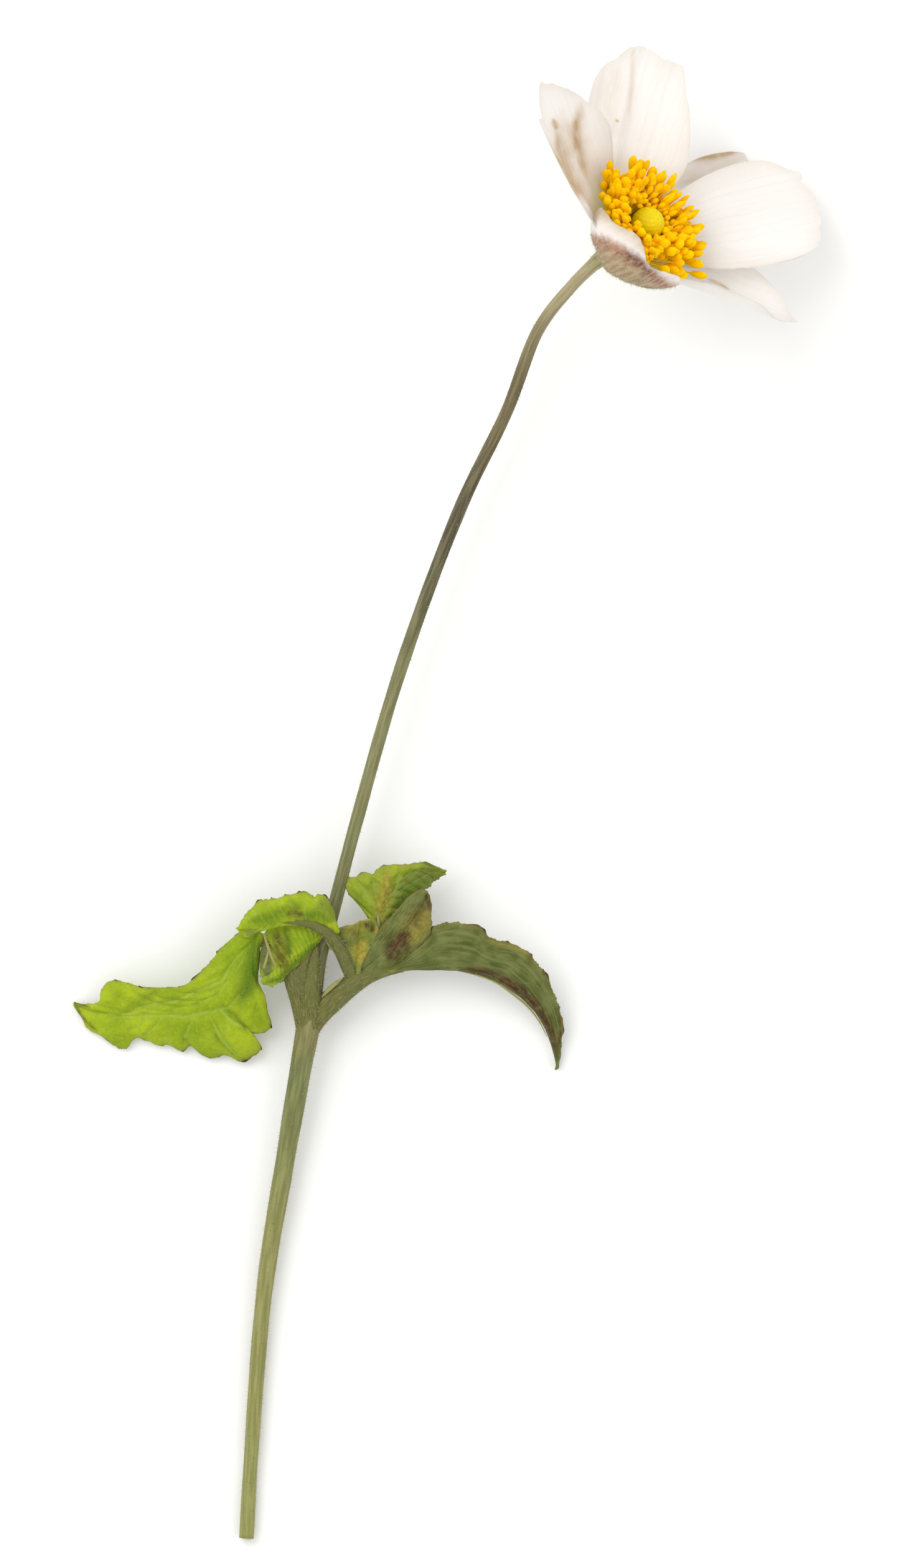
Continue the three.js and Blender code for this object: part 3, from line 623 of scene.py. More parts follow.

# %% [markdown]
# ## Bract leaves
# Two leaves grow from the joint. Their lobes are folded, arched and toothed, and no two are alike. A plane could
# be pulled into each shape by hand, but a strip between three given rails, the midrib and the two margins,
# takes few points and stays a formula. The blade arches between midrib and margin, side veins press narrow
# grooves into it, and the tissue puffs up between them.

# %% Leaf lobes, as x, y, z in mm
# lime is how yellow-green the left and the right half is, and arch how far they bulge, in mm. teeth and tooth are
# the number of teeth along each margin and their size, veins the number of side veins, lean their slant and groove
# their depth. rib is the strength of the midrib, and quilt how much the finest veins break up the puffed tissue.
LOBES = {
    "bract_leaf_left": {
        "main": dict(
            midrib=[
                (-27.6, -18.9, 7.2), (-28.6, -21.2, 7.1), (-30.0, -23.6, 6.9), (-32.0, -26.5, 6.4),
                (-34.9, -28.6, 5.6), (-38.4, -29.8, 4.6), (-42.5, -30.3, 3.6), (-47.2, -30.7, 2.6),
                (-50.5, -30.3, 1.6), (-53.3, -29.3, 0.5),
            ],
            right=[
                (-29.4, -18.8, 7.2), (-30.4, -19.6, 7.3), (-31.8, -20.7, 7.3), (-33.9, -23.1, 7.2),
                (-35.9, -25.4, 6.9), (-38.2, -26.8, 6.3), (-41.3, -27.0, 5.7), (-43.6, -27.0, 5.3),
                (-46.9, -26.1, 4.9), (-48.4, -26.2, 4.4), (-49.4, -27.4, 3.4), (-49.8, -29.0, 2.4),
                (-51.9, -29.5, 1.2), (-53.3, -29.1, 0.5),
            ],
            left=[
                (-26.8, -19.4, 7.2), (-27.2, -21.2, 7.0), (-27.4, -23.6, 6.4), (-27.6, -26.2, 5.6),
                (-26.7, -28.0, 5.0), (-26.3, -30.2, 4.2), (-25.9, -32.5, 3.4), (-26.9, -33.3, 3.2),
                (-28.4, -33.2, 3.2), (-28.0, -33.9, 2.8), (-27.2, -35.5, 2.2), (-28.4, -36.6, 1.6),
                (-30.2, -37.3, 1.2), (-32.0, -36.4, 1.4), (-33.9, -36.8, 1.1), (-35.5, -36.2, 1.1),
                (-36.8, -35.1, 1.3), (-38.5, -35.8, 1.0), (-40.4, -34.9, 1.2), (-41.4, -35.1, 1.1),
                (-42.8, -34.5, 1.2), (-44.7, -34.0, 1.3), (-46.2, -35.5, 0.8), (-47.3, -35.3, 0.8),
                (-49.1, -33.9, 0.9), (-51.2, -32.9, 0.8), (-52.2, -31.3, 0.7), (-53.3, -29.6, 0.5),
            ],
            lime=(1.0, 0.95), arch=(0.5, 0.3), teeth=(26, 12), tooth=0.3, veins=9, lean=1.6, groove=1.0, rib=0.45,
            quilt=0.35,
        ),
        "pleated": dict(
            midrib=[
                (-26.8, -25.5, 7), (-25.2, -24.5, 7.5), (-23.3, -22.9, 7.8), (-21.4, -21.2, 7.7),
                (-19.7, -20.0, 7.3), (-18.7, -19.4, 7),
            ],
            left=[
                (-27.1, -25.1, 7), (-27.0, -22.0, 6.9), (-26.4, -19.2, 6.8), (-24.7, -18.0, 6.8),
                (-22.6, -17.6, 6.9), (-20.5, -17.7, 7), (-18.7, -18.4, 7),
            ],
            right=[
                (-27.1, -26.0, 7), (-25.9, -26.6, 7.2), (-24.5, -26.1, 7.3), (-23.3, -24.8, 7.5),
                (-21.6, -23.2, 7.4), (-20.0, -21.5, 7.2), (-18.6, -20.0, 7),
            ],
            lime=(0.8, 0.85), arch=(0.5, 0.2), teeth=(3, 12), tooth=0.35, veins=17, lean=0.0, groove=0.75, rib=0.0,
            quilt=0.0,
        ),
    },
    "bract_leaf_right": {
        "long": dict(
            midrib=[
                (-11.2, -25.5, 5.8), (-9.3, -24.9, 6.1), (-7.0, -24.5, 6.3), (-3.4, -24.4, 6.5), (0.4, -24.5, 6.4),
                (2.7, -24.9, 6.1), (5.6, -25.9, 5.5), (7.9, -27.3, 4.7), (10.3, -29.3, 3.7), (11.9, -31.3, 2.8),
                (13.1, -33.7, 1.8), (13.8, -35.9, 1.0), (14.4, -38.4, 0.4),
            ],
            left=[
                (-10.8, -25.0, 6.1), (-9.3, -24.4, 6.4), (-6.3, -22.2, 7.2), (-3.9, -19.9, 8.2), (-2.7, -18.4, 8.7),
                (-0.6, -18.0, 9.0), (1.1, -18.1, 9.0), (3.4, -18.6, 8.9), (4.8, -20.0, 8.6), (6.5, -20.6, 8.3),
                (8.2, -21.0, 7.9), (10.5, -22.6, 7.1), (12.4, -25.1, 5.8), (13.8, -28.0, 4.4), (14.8, -31.5, 2.9),
                (14.8, -35.2, 1.3), (14.5, -38.3, 0.5),
            ],
            right=[
                (-10.8, -25.2, 5.3), (-9.0, -24.7, 5.4), (-6.3, -23.0, 5.2), (-2.7, -20.6, 5.0), (1.1, -20.2, 4.9),
                (4.8, -21.6, 4.7), (8.2, -23.4, 4.3), (10.8, -25.9, 3.5), (12.6, -29.0, 2.6), (13.6, -32.2, 1.7),
                (14.2, -35.6, 0.9), (14.4, -38.3, 0.4),
            ],
            lime=(0.0, 0.1), arch=(0.7, 0.2), teeth=(17, 8), tooth=0.45, veins=11, lean=2.2, groove=0.3, rib=0.3,
            quilt=0.4,
        ),
        "side": dict(
            midrib=[
                (-13.4, -24.8, 6.0), (-10.4, -22.4, 6.8), (-7.4, -19.4, 7.7), (-4.9, -16.0, 8.5),
                (-3.7, -13.8, 8.8),
            ],
            left=[
                (-13.2, -24.0, 6.1), (-12.4, -21.5, 6.7), (-10.4, -18.9, 7.4), (-8.2, -16.3, 8), (-6.3, -14.4, 8.5),
                (-4.6, -13.4, 8.8), (-3.8, -13.5, 8.8),
            ],
            right=[
                (-12.8, -25.1, 6.0), (-9.3, -24.4, 6.5), (-6.3, -21.9, 7.5), (-3.6, -19.2, 8.7), (-3.4, -16.8, 9.0),
                (-3.5, -14.0, 8.9),
            ],
            lime=(0.0, 0.05), arch=(0.3, 0.4), teeth=(4, 7), tooth=0.35, veins=5, lean=1.4, groove=0.35, rib=0.1,
            quilt=0.4,
        ),
        "fan": dict(
            midrib=[
                (-11.2, -21.4, 5.9), (-10.4, -18.6, 6.2), (-9.6, -15.6, 6.5), (-8.4, -12.8, 6.8),
                (-5.4, -10.6, 6.7), (-1.4, -10.9, 6.1),
            ],
            left=[
                (-11.6, -20.8, 5.9), (-12.0, -17.4, 6.0), (-13.8, -14.9, 6.2), (-15.0, -13.4, 6.4),
                (-14.8, -11.7, 6.6), (-13.6, -11.5, 6.8), (-12.7, -11.0, 6.9), (-11.5, -11.2, 6.8),
                (-10.5, -10.3, 6.9), (-8.4, -9.8, 6.9), (-7.0, -9.9, 6.8), (-5.3, -9.6, 6.6), (-2.7, -10.1, 6.2),
                (-1.3, -10.8, 6.0),
            ],
            right=[
                (-11.0, -21.2, 5.8), (-9.7, -18.4, 5.9), (-7.9, -15.8, 6.0), (-6.3, -14.4, 6.1), (-4.1, -13.0, 6.1),
                (-2.7, -11.8, 6.0), (-1.3, -11.0, 5.9),
            ],
            lime=(0.45, 0.3), arch=(0.5, 0.2), teeth=(13, 6), tooth=0.4, veins=11, lean=1.0, groove=1.0, rib=0.6,
            quilt=0.3,
        ),
        "fold": dict(
            midrib=[
                (-13.9, -26.0, 5.9), (-13.8, -24.4, 6.4), (-13.7, -22.5, 6.4), (-13.5, -19.9, 6.4),
                (-13.2, -17.6, 7),
            ],
            left=[
                (-14.6, -25.6, 5.9), (-15.1, -23.9, 6.4), (-15.8, -21.8, 6.6), (-16.7, -19.9, 6.8),
                (-16.3, -18.7, 7.2), (-15.0, -18.3, 7.3),
            ],
            right=[
                (-13.3, -25.8, 6), (-13.2, -24.5, 6.6), (-12.7, -22.9, 6.9), (-11.8, -21.4, 7), (-11.1, -20.1, 7.1),
                (-10.8, -18.7, 7.2), (-11.1, -17.7, 7.3), (-11.8, -17.2, 7.3),
            ],
            lime=(0.2, 0.3), arch=(0.2, 0.3), teeth=(3, 5), tooth=0.25, veins=4, lean=0.5, groove=0.7, rib=0.4,
            quilt=0.4,
        ),
        "crossing": dict(
            midrib=[
                (-16.8, -19.7, 7.6), (-17.7, -18.9, 8.2), (-19.3, -18.1, 8.8), (-21.6, -17.7, 9.1),
                (-24.0, -17.8, 9.1), (-26.4, -18.4, 9), (-28.5, -18.8, 8.8), (-30.2, -18.7, 8.6),
            ],
            right=[
                (-16.8, -18.6, 7.5), (-16.8, -17.4, 8.2), (-17.1, -16.0, 8.9), (-17.9, -14.7, 9.3),
                (-19.0, -14.0, 9.5), (-19.7, -14.4, 9.6), (-20.6, -13.8, 9.6), (-22.6, -14.0, 9.7),
                (-24.0, -14.3, 9.6), (-25.0, -14.7, 9.6), (-26.8, -14.8, 9.5), (-28.3, -15.9, 9.3),
                (-29.2, -16.9, 9.1), (-29.9, -18.0, 8.9), (-30.2, -18.6, 8.6),
            ],
            left=[
                (-16.8, -20.0, 7.4), (-17.7, -19.4, 7.8), (-19.3, -18.5, 8.3), (-21.6, -18.1, 8.5),
                (-24.0, -18.2, 8.5), (-25.9, -18.6, 8.5), (-27.5, -19.1, 8.4), (-29.0, -19.7, 8.4),
                (-30.2, -18.9, 8.5),
            ],
            lime=(0.7, 0.9), arch=(0.2, 0.7), teeth=(7, 15), tooth=0.4, veins=11, lean=1.2, groove=0.8, rib=0.2,
            quilt=0.4,
        ),
    },
}
print("lobes:", {name: list(lobes) for name, lobes in LOBES.items()})

# %% Paths of the leaf stalks
# Stalks of the leaves and of their lobes: x, y, z, radius
PETIOLES = {
    "bract_leaf_left": [
        [
            (-21.0, -35.2, 4.1, 1), (-20.9, -32.2, 4.4, 1.4), (-21.2, -29.8, 4.8, 1.58), (-21.6, -27.9, 5.1, 1.65),
            (-22.2, -26.1, 5.6, 1.6), (-23.0, -24.1, 6.1, 1.3), (-24.4, -22.3, 6.4, 1), (-25.9, -21.2, 6.5, 0.7),
            (-27.9, -20.4, 6.7, 0.4),
        ],
        [
            (-21.2, -29.1, 4.9, 1), (-21.4, -27.2, 5.4, 1.3), (-21.5, -25.3, 5.9, 1.35), (-21.3, -23.4, 6.3, 1.15),
            (-20.7, -22.0, 6.6, 0.85), (-19.9, -20.6, 6.7, 0.4),
        ],
        [
            (-21.0, -35.6, 4, 1.2), (-20.7, -33.4, 4.35, 1.48), (-20.4, -31.0, 4.9, 1.62), (-20.2, -28.2, 5.7, 1.5),
            (-20.0, -25.2, 6.3, 1.1), (-19.7, -23.2, 6.5, 0.8), (-19.4, -21.0, 6.6, 0.4),
        ],
    ],
    "bract_leaf_right": [
        [
            (-20.9, -35.2, 4.1, 1), (-20.1, -32.4, 4.4, 1.4), (-18.8, -30.4, 4.8, 1.58), (-17.0, -28.6, 5.1, 1.65),
            (-14.8, -26.8, 5.5, 1.5), (-12.4, -25.4, 5.8, 1.2), (-10.1, -24.7, 6, 0.85), (-7.2, -24.3, 6.1, 0.45),
        ],
        [
            (-14.1, -26.0, 5.7, 0.9), (-14.9, -24.1, 6.2, 1), (-15.8, -22.1, 7, 0.95), (-16.9, -20.3, 7.8, 0.9),
            (-18.3, -18.9, 8.5, 0.85), (-19.9, -18.1, 8.9, 0.7), (-21.4, -17.8, 9.1, 0.5), (-22.8, -17.8, 9.1, 0.3),
            (-24.2, -17.9, 9.1, 0.1),
        ],
    ],
}
# Thinner pale stalks: the folded edge beside the pleated lobe, the fan's stalk and the rims of the sheaths.
PALE_STALKS = {
    "bract_leaf_left": [
        [
            (-26.7, -19.4, 8.1, 0.12), (-26.0, -21.6, 7.95, 0.22), (-25.3, -23.4, 7.85, 0.2),
            (-24.5, -25.2, 7.5, 0.1),
        ],
        [(-26.0, -21.4, 7.9, 0.08), (-26.3, -22.9, 7.85, 0.2), (-26.7, -24.2, 7.6, 0.2), (-27.2, -25.5, 7.2, 0.1)],
        [
            (-27.3, -25.3, 7.2, 0.08), (-25.9, -25.4, 7.4, 0.14), (-24.5, -25.1, 7.6, 0.14),
            (-23.0, -23.9, 7.6, 0.04),
        ],
        [(-23.6, -25.6, 6.2, 0.1), (-23.1, -27.0, 6, 0.2), (-22.6, -28.6, 5.6, 0.16), (-22.2, -30.2, 5.1, 0.06)],
    ],
    "bract_leaf_right": [
        [
            (-12.2, -24.6, 5.2, 0.5), (-11.5, -22.2, 5.8, 0.5), (-10.9, -20.1, 6.4, 0.4), (-10.7, -18.2, 6.7, 0.3),
            (-10.8, -16.6, 6.6, 0.1),
        ],
        [(-18.6, -28.3, 6.2, 0.1), (-17.8, -27.4, 6.5, 0.28), (-16.8, -26.5, 6.6, 0.3), (-15.7, -25.6, 6.6, 0.08)],
        [(-18.2, -19.7, 6.8, 0.15), (-17.5, -20.6, 6.8, 0.45), (-17.3, -21.7, 6.7, 0.12)],
        [
            (0.4, -24.6, 6.2, 0.05), (2.7, -25.1, 5.9, 0.13), (5.5, -26.1, 5.3, 0.15), (7.7, -27.6, 4.5, 0.15),
            (10.1, -29.6, 3.5, 0.14), (11.7, -31.6, 2.6, 0.1), (12.9, -33.9, 1.6, 0.04),
        ],
    ],
}
print("leaf stalks:", {name: len(PETIOLES[name]) + len(PALE_STALKS[name]) for name in PETIOLES})

# %% Marks on the leaves
# Marks seen from above on each lobe: lines in x and y, the width of the mark and its strength. A dull mark takes
# the lime away, and a dark mark is painted shade on folds and under edges that turn down.
MARKS = {
    "main": dict(
        vein=[
            (
                [
                    (-28.5, -20.6), (-31.3, -23.7), (-32.5, -26.0), (-35.6, -27.2), (-39.1, -28.9), (-43.2, -29.4),
                    (-46.2, -30.7),
                ],
                0.22,
                1.0,
            ),
            (
                [(-29.4, -27.0), (-31.6, -29.6), (-34.2, -30.3), (-38.0, -31.0), (-41.3, -30.9), (-48.6, -31.2)],
                0.2,
                1.0,
            ),
            ([(-33.4, -29.6), (-31.1, -31.7), (-28.6, -33.0)], 0.22, 1.0),
            ([(-34.3, -30.8), (-32.6, -34.3), (-30.2, -37.0)], 0.2, 1.0),
            ([(-41.5, -28.8), (-43.4, -28.3), (-45.2, -26.8)], 0.16, 0.8),
            ([(-40.8, -31.0), (-42.2, -32.6), (-43.8, -33.9)], 0.16, 0.8),
            ([(-36.6, -30.8), (-37.4, -33.0), (-38.2, -35.2)], 0.16, 0.8),
        ],
        dark=[
            ([(-27.4, -19.6), (-28.1, -23.4), (-28.8, -26.3), (-30.2, -29.1)], 1.7, 1.0),
            ([(-41.3, -27.2), (-43.6, -28.6), (-46.7, -30.3)], 0.7, 0.5),
            ([(-33.9, -33.3), (-32.0, -35.2), (-30.4, -36.9)], 0.4, 0.5),
            ([(-32.3, -29.6), (-30.6, -31.0), (-29.0, -32.9)], 0.5, 0.6),
        ],
        brown=[([(-51.0, -29.8), (-53.2, -29.3), (-52.4, -31.0), (-50.0, -33.2)], 0.35, 0.8)],
    ),
    "pleated": dict(
        brown=[([(-24.9, -18.9), (-24.5, -22.0), (-23.7, -24.6)], 1.4, 0.8)],
        dull=[([(-26.6, -20.1), (-26.4, -22.9), (-26.1, -25.5)], 1.0, 0.9)],
        dark=[
            ([(-26.8, -26.3), (-24.5, -25.7), (-22.3, -23.6), (-20.5, -21.8), (-18.8, -20.1)], 0.6, 1.0),
            ([(-23.8, -18.4), (-23.3, -20.6), (-23.1, -22.7)], 0.6, 0.9),
        ],
    ),
    "crossing": dict(
        brown=[([(-23.5, -16.7), (-22.3, -16.4), (-21.2, -16.7)], 0.8, 0.8)],
        dull=[
            ([(-19.3, -14.7), (-17.4, -15.8), (-16.7, -18.0)], 1.8, 0.5),
            ([(-29.4, -19.2), (-26.8, -19.4)], 0.8, 0.4),
        ],
        dark=[
            ([(-28.7, -17.7), (-25.9, -17.0), (-23.1, -15.6)], 0.8, 0.7),
            ([(-21.6, -17.1), (-19.3, -16.6), (-17.4, -17.7)], 0.9, 0.8),
            ([(-23.1, -14.7), (-21.6, -15.8)], 0.5, 0.5),
        ],
    ),
    "fold": dict(
        yellow=[
            ([(-12.9, -23.6), (-13.4, -22.0), (-12.7, -20.3)], 1.3, 1.0),
            ([(-15.7, -19.6), (-14.1, -18.7), (-12.2, -18.9)], 1.4, 0.5),
            ([(-14.8, -18.3), (-13.2, -17.5), (-11.7, -17.2)], 0.4, 0.9),
            ([(-11.0, -18.0), (-10.8, -19.4), (-11.4, -20.8)], 0.4, 0.9),
        ],
        brown=[
            ([(-12.7, -18.1), (-11.7, -18.3), (-11.5, -19.2)], 0.5, 1.0),
            ([(-11.8, -20.9), (-11.7, -21.1)], 0.35, 1.0),
            ([(-12.7, -21.8), (-12.7, -21.9)], 0.3, 1.0),
            ([(-14.8, -18.9), (-13.6, -19.6)], 0.6, 0.3),
        ],
        dark=[([(-15.7, -22.2), (-14.8, -23.9)], 0.8, 0.5)],
    ),
    "fan": dict(
        vein=[
            ([(-10.6, -18.0), (-10.9, -15.1), (-11.5, -11.4)], 0.2, 1.0),
            ([(-10.9, -15.8), (-12.7, -13.5), (-13.8, -11.8)], 0.16, 0.7),
            ([(-10.6, -17.5), (-9.3, -14.4), (-7.4, -10.2)], 0.2, 1.0),
            ([(-9.3, -14.4), (-6.3, -12.5), (-3.4, -10.9)], 0.16, 0.6),
        ],
        yellow=[
            ([(-10.5, -17.7), (-10.1, -14.7), (-9.3, -10.4)], 1.1, 0.95),
            ([(-8.4, -9.9), (-5.6, -9.7)], 0.3, 0.6),
        ],
        dark=[
            ([(-14.5, -13.2), (-12.7, -15.4), (-11.2, -16.8)], 0.6, 0.6),
            ([(-8.6, -15.8), (-6.3, -13.2), (-3.4, -11.4)], 0.9, 0.7),
        ],
        brown=[([(-4.6, -9.6), (-2.7, -10.1), (-1.3, -10.8)], 0.3, 0.6)],
    ),
    "side": dict(
        brown=[
            ([(-9.3, -23.2), (-7.9, -21.0), (-6.3, -18.9)], 1.5, 1.2),
            ([(-6.7, -19.4), (-5.3, -17.3), (-4.1, -15.1)], 1.5, 0.6),
            ([(-4.1, -13.7), (-3.7, -15.1), (-3.4, -16.6)], 0.4, 0.9),
        ],
        yellow=[([(-7.0, -20.8), (-5.3, -18.4), (-3.7, -16.1)], 1.8, 0.7)],
    ),
    "long": dict(
        brown=[
            (
                [
                    (0.6, -24.2), (4.1, -24.7), (7.2, -26.0), (10.1, -28.1), (12.2, -30.5), (13.6, -33.3),
                    (14.3, -37.1),
                ],
                0.75,
                1.2,
            ),
            ([(1.3, -17.9), (2.0, -18.3)], 0.3, 1.0),
            ([(10.4, -22.1), (11.0, -23.2)], 0.35, 1.0),
            ([(12.2, -24.6), (12.7, -25.3)], 0.3, 1.0),
            ([(14.5, -30.5), (14.9, -32.6), (14.4, -35.2)], 0.35, 0.8),
        ],
        yellow=[
            ([(-3.4, -16.3), (-0.4, -17.4), (3.2, -18.0)], 0.35, 0.8),
            ([(4.1, -20.3), (7.7, -21.2), (10.5, -22.2), (12.4, -24.8)], 0.22, 0.6),
            ([(-9.3, -24.7), (-4.6, -24.5)], 0.2, 0.6),
        ],
    ),
}
print("marks:", {name: sum(map(len, marks.values())) for name, marks in MARKS.items()})

# %% Leaf thickness and veins, in mm
ROW_STEP, FEWEST_ROWS, MOST_ROWS = 0.15, 80, 260
VALLEY = 3.2  # widths of a drawn vein that sink with it
BLADE_RIM, BLADE_BODY, VEIN_RISE = 0.08, 0.14, 0.2  # thickness at the rim, and what the body and the veins add
SIDE_VEIN, SIDE_GROOVE, MIDRIB, MIDRIB_GROOVE = 0.1, 0.3, 0.17, 0.4  # half widths
PUFF, SINK, DRAWN_SINK, RIM_WAVE = 0.22, 0.1, 0.35, 0.1  # heights
print("a blade is", round(BLADE_RIM + BLADE_BODY, 2), "mm thick between its veins")


# %% Teeth and veins of a lobe
def marked(surface, marks, field):
    """How strongly a field is marked at each point of a surface, from 0 to 1."""
    total = np.zeros(surface.shape[:2])
    for points, width, strength in marks.get(field, []):
        total = np.maximum(total, strength * stroke(surface, points, width))
    return np.minimum(total, 1)


def lobe_teeth(lobe, share, side):
    """How many teeth lie behind each point, and how far it stands out on one. A tooth is a saw whose long slope
    points to the tip, with a saw of a third of its length on top. Teeth fade in with |side|**8."""
    counted = share * np.where(side > 0, lobe["teeth"][1], lobe["teeth"][0])
    counted = counted + 0.3 * np.sin(2.3 * counted + 1)
    saw = np.interp(counted % 1, [0, 0.72, 0.8, 1], [0, 1, 0.8, 0]) * (0.7 + 0.4 * np.sin(np.floor(counted) * 2.4))
    saw = (saw + 0.3 * np.interp((3 * counted + 0.4) % 1, [0, 0.7, 1], [0, 1, 0])) * np.abs(side) ** 8
    return counted, saw * np.clip(14 * (1 - share), 0, 1)


def lobe_veins(lobe, share, side, width, run):
    """Side veins follow share * veins - |side| * lean, where whole numbers are veins, with a little wander. The
    results are the veins and the grooves they lie in, both bells across a vein, the puffed tissue between them,
    a squared sine that is 1 halfway, and how all of it fades towards the rim."""
    wander = 0.1 * np.sin(5 * share + 3 * side) + 0.06 * np.sin(17 * share - 7 * side)
    course = share * lobe["veins"] - np.abs(side) * lobe["lean"] + wander
    course = course + 0.35 * (side > 0) * (lobe["lean"] > 0)  # the veins of the two halves alternate
    off = np.abs((course + 0.5) % 1 - 0.5) * run / lobe["veins"]
    fade = np.clip(1.1 - np.abs(side) ** 4, 0, 1) * np.minimum(width / 1.5, 1) * np.sin(np.pi * share) ** 0.4
    from_midrib = np.abs(side) * width
    vein = np.maximum(0.7 * bell(off, SIDE_VEIN) * fade, lobe["rib"] * bell(from_midrib, MIDRIB))
    sunk = np.maximum(bell(off, SIDE_GROOVE) * fade, lobe["rib"] * bell(from_midrib, MIDRIB_GROOVE))
    cross_veins = from_midrib / 1.3 + 0.4 * np.floor(course) + 0.2 * np.sin(6 * course)
    puff = np.sin(np.pi * course) ** 2 * (1 - lobe["quilt"] * np.cos(np.pi * cross_veins) ** 2)
    return vein, sunk, puff, fade


main = LOBES["bract_leaf_left"]["main"]
print("tooth halfway up its margin:", lobe_teeth(main, np.array([[0.5]]), np.array([[-1.0]]))[1].round(2).item())


# %% Lobe shape
def lobe_shape(name, lobe, columns=60):
    """A lobe as a sheet between its rails: midrib + |side| * (margin - midrib), with teeth that stretch the
    margin outwards. The blade arches by 4 * arch * |side| * (1 - |side|), sinks into the grooves of its veins
    and puffs up between them."""
    run = np.linalg.norm(np.diff(np.array(lobe["left"]), axis=0), axis=1).sum()
    rows = int(min(MOST_ROWS, max(FEWEST_ROWS, run / ROW_STEP)))
    share = np.linspace(0, 1, rows + 1)
    midrib, left, right = (rail(lobe[key], share)[:, None] for key in ("midrib", "left", "right"))
    share = share[:, None]
    side = np.linspace(-1, 1, columns + 1)[None]
    at_right = side > 0
    margin = np.where(at_right[..., None], right, left)
    width = np.linalg.norm(margin - midrib, axis=2)
    counted, saw = lobe_teeth(lobe, share, side)
    stretch = np.abs(side) * (1 + lobe["tooth"] * saw / np.maximum(width, 0.8))
    middle = midrib + stretch[..., None] * (margin - midrib)
    normal = np.cross(np.gradient(middle, axis=0), np.gradient(middle, axis=1))
    normal /= np.linalg.norm(normal, axis=2, keepdims=True) + 1e-12
    normal *= np.sign(normal[..., 2].mean())
    vein, sunk, puff, fade = lobe_veins(lobe, share, side, width, run)
    marks = MARKS[name]
    drawn = marked(middle, marks, "vein")
    wide = [(points, VALLEY * size, strength) for points, size, strength in marks.get("vein", [])]
    valley = marked(middle, {"vein": wide}, "vein")
    arch = np.where(at_right, lobe["arch"][1], lobe["arch"][0])
    lift = 4 * arch * np.abs(side) * (1 - np.abs(side)) - DRAWN_SINK * valley
    lift += (PUFF * puff - SINK * sunk) * fade * lobe["groove"]
    lift += RIM_WAVE * np.sin(counted * np.pi) * np.abs(side) ** 4
    middle = middle + normal * lift[..., None]
    edge = np.abs(side) ** 20
    thickness = BLADE_RIM + BLADE_BODY * (1 - edge) + VEIN_RISE * vein * (1 - 0.7 * share)
    fields = {key: marked(middle, marks, key) for key in ("brown", "yellow", "dark")}
    lime = np.where(at_right, lobe["lime"][1], lobe["lime"][0]) - marked(middle, marks, "dull")
    fields.update(vein=np.maximum(vein, drawn), sunk=np.maximum(sunk, 0.8 * valley), lime=lime)
    return sheet(middle, thickness, edge=edge, point=saw**3 * edge, across=side, ahead=share, **fields)


pleated = lobe_shape("pleated", LOBES["bract_leaf_left"]["pleated"])
print("pleated lobe:", len(pleated[1]), "faces")


# %% Shape of a leaf stalk
PETIOLE_SIDES = 28
PALENESS = 0.75  # of the thin stalks and rims


def petiole_shape(points, pale=0.0, steps=64):
    """A leaf stalk: a tube with a shallow groove along its top and fine ridges. Its field base is 1 where a
    thick stalk leaves the stem."""
    path = rail(points, np.linspace(0, 1, steps))
    angle = np.linspace(0, 2 * np.pi, PETIOLE_SIDES, endpoint=False)
    ridges = 0.03 * np.cos(6 * angle) + 0.015 * np.cos(14 * angle + 0.4 * np.arange(steps)[:, None] ** 0.5)
    radii = path[:, 3:] * (1 - 0.1 * bell(np.sin((angle - np.pi / 2) / 2), 0.2) + ridges)
    ahead = np.linspace(0, 1, steps)
    fields = dict(stalk=np.ones(steps), pale=np.full(steps, pale), across=np.broadcast_to(angle, radii.shape))
    fields.update(base=np.clip(1 - ahead * 2.4, 0, 1) * (path[0, 3] > 0.95), ahead=ahead)
    return tube(path[:, :3], radii, PETIOLE_SIDES, **fields)


def leaf_shape(name):
    """All lobes and stalks of a leaf as one shape."""
    lobes = [lobe_shape(key, lobe) for key, lobe in LOBES[name].items()]
    stalks = [petiole_shape(points) for points in PETIOLES[name]]
    return merge(lobes + stalks + [petiole_shape(points, PALENESS) for points in PALE_STALKS[name]])


leaf_shapes = {name: leaf_shape(name) for name in LOBES}
print("leaves:", {name: len(shape[1]) for name, shape in leaf_shapes.items()}, "faces")

# %% [markdown]
# ## Hairs
# The stalks, the leaves and the back of the outer tepal are downy. A particle system could grow the hairs, but a
# hair here is only a thin closed spike with four faces, so thousands of them are one small mesh.


# %% Hairs
STEM_HAIRS, TEPAL_HAIRS, LEAF_HAIRS = (5200, 0.45), (1400, 0.4), (3600, 0.42)  # how many, longest in mm
HAIR_FOOT = 0.022  # mm
HAIR_LEAN = 0.45  # against a length of 1
ABOVE_TABLE = 0.05  # no hair tip goes lower, in mm


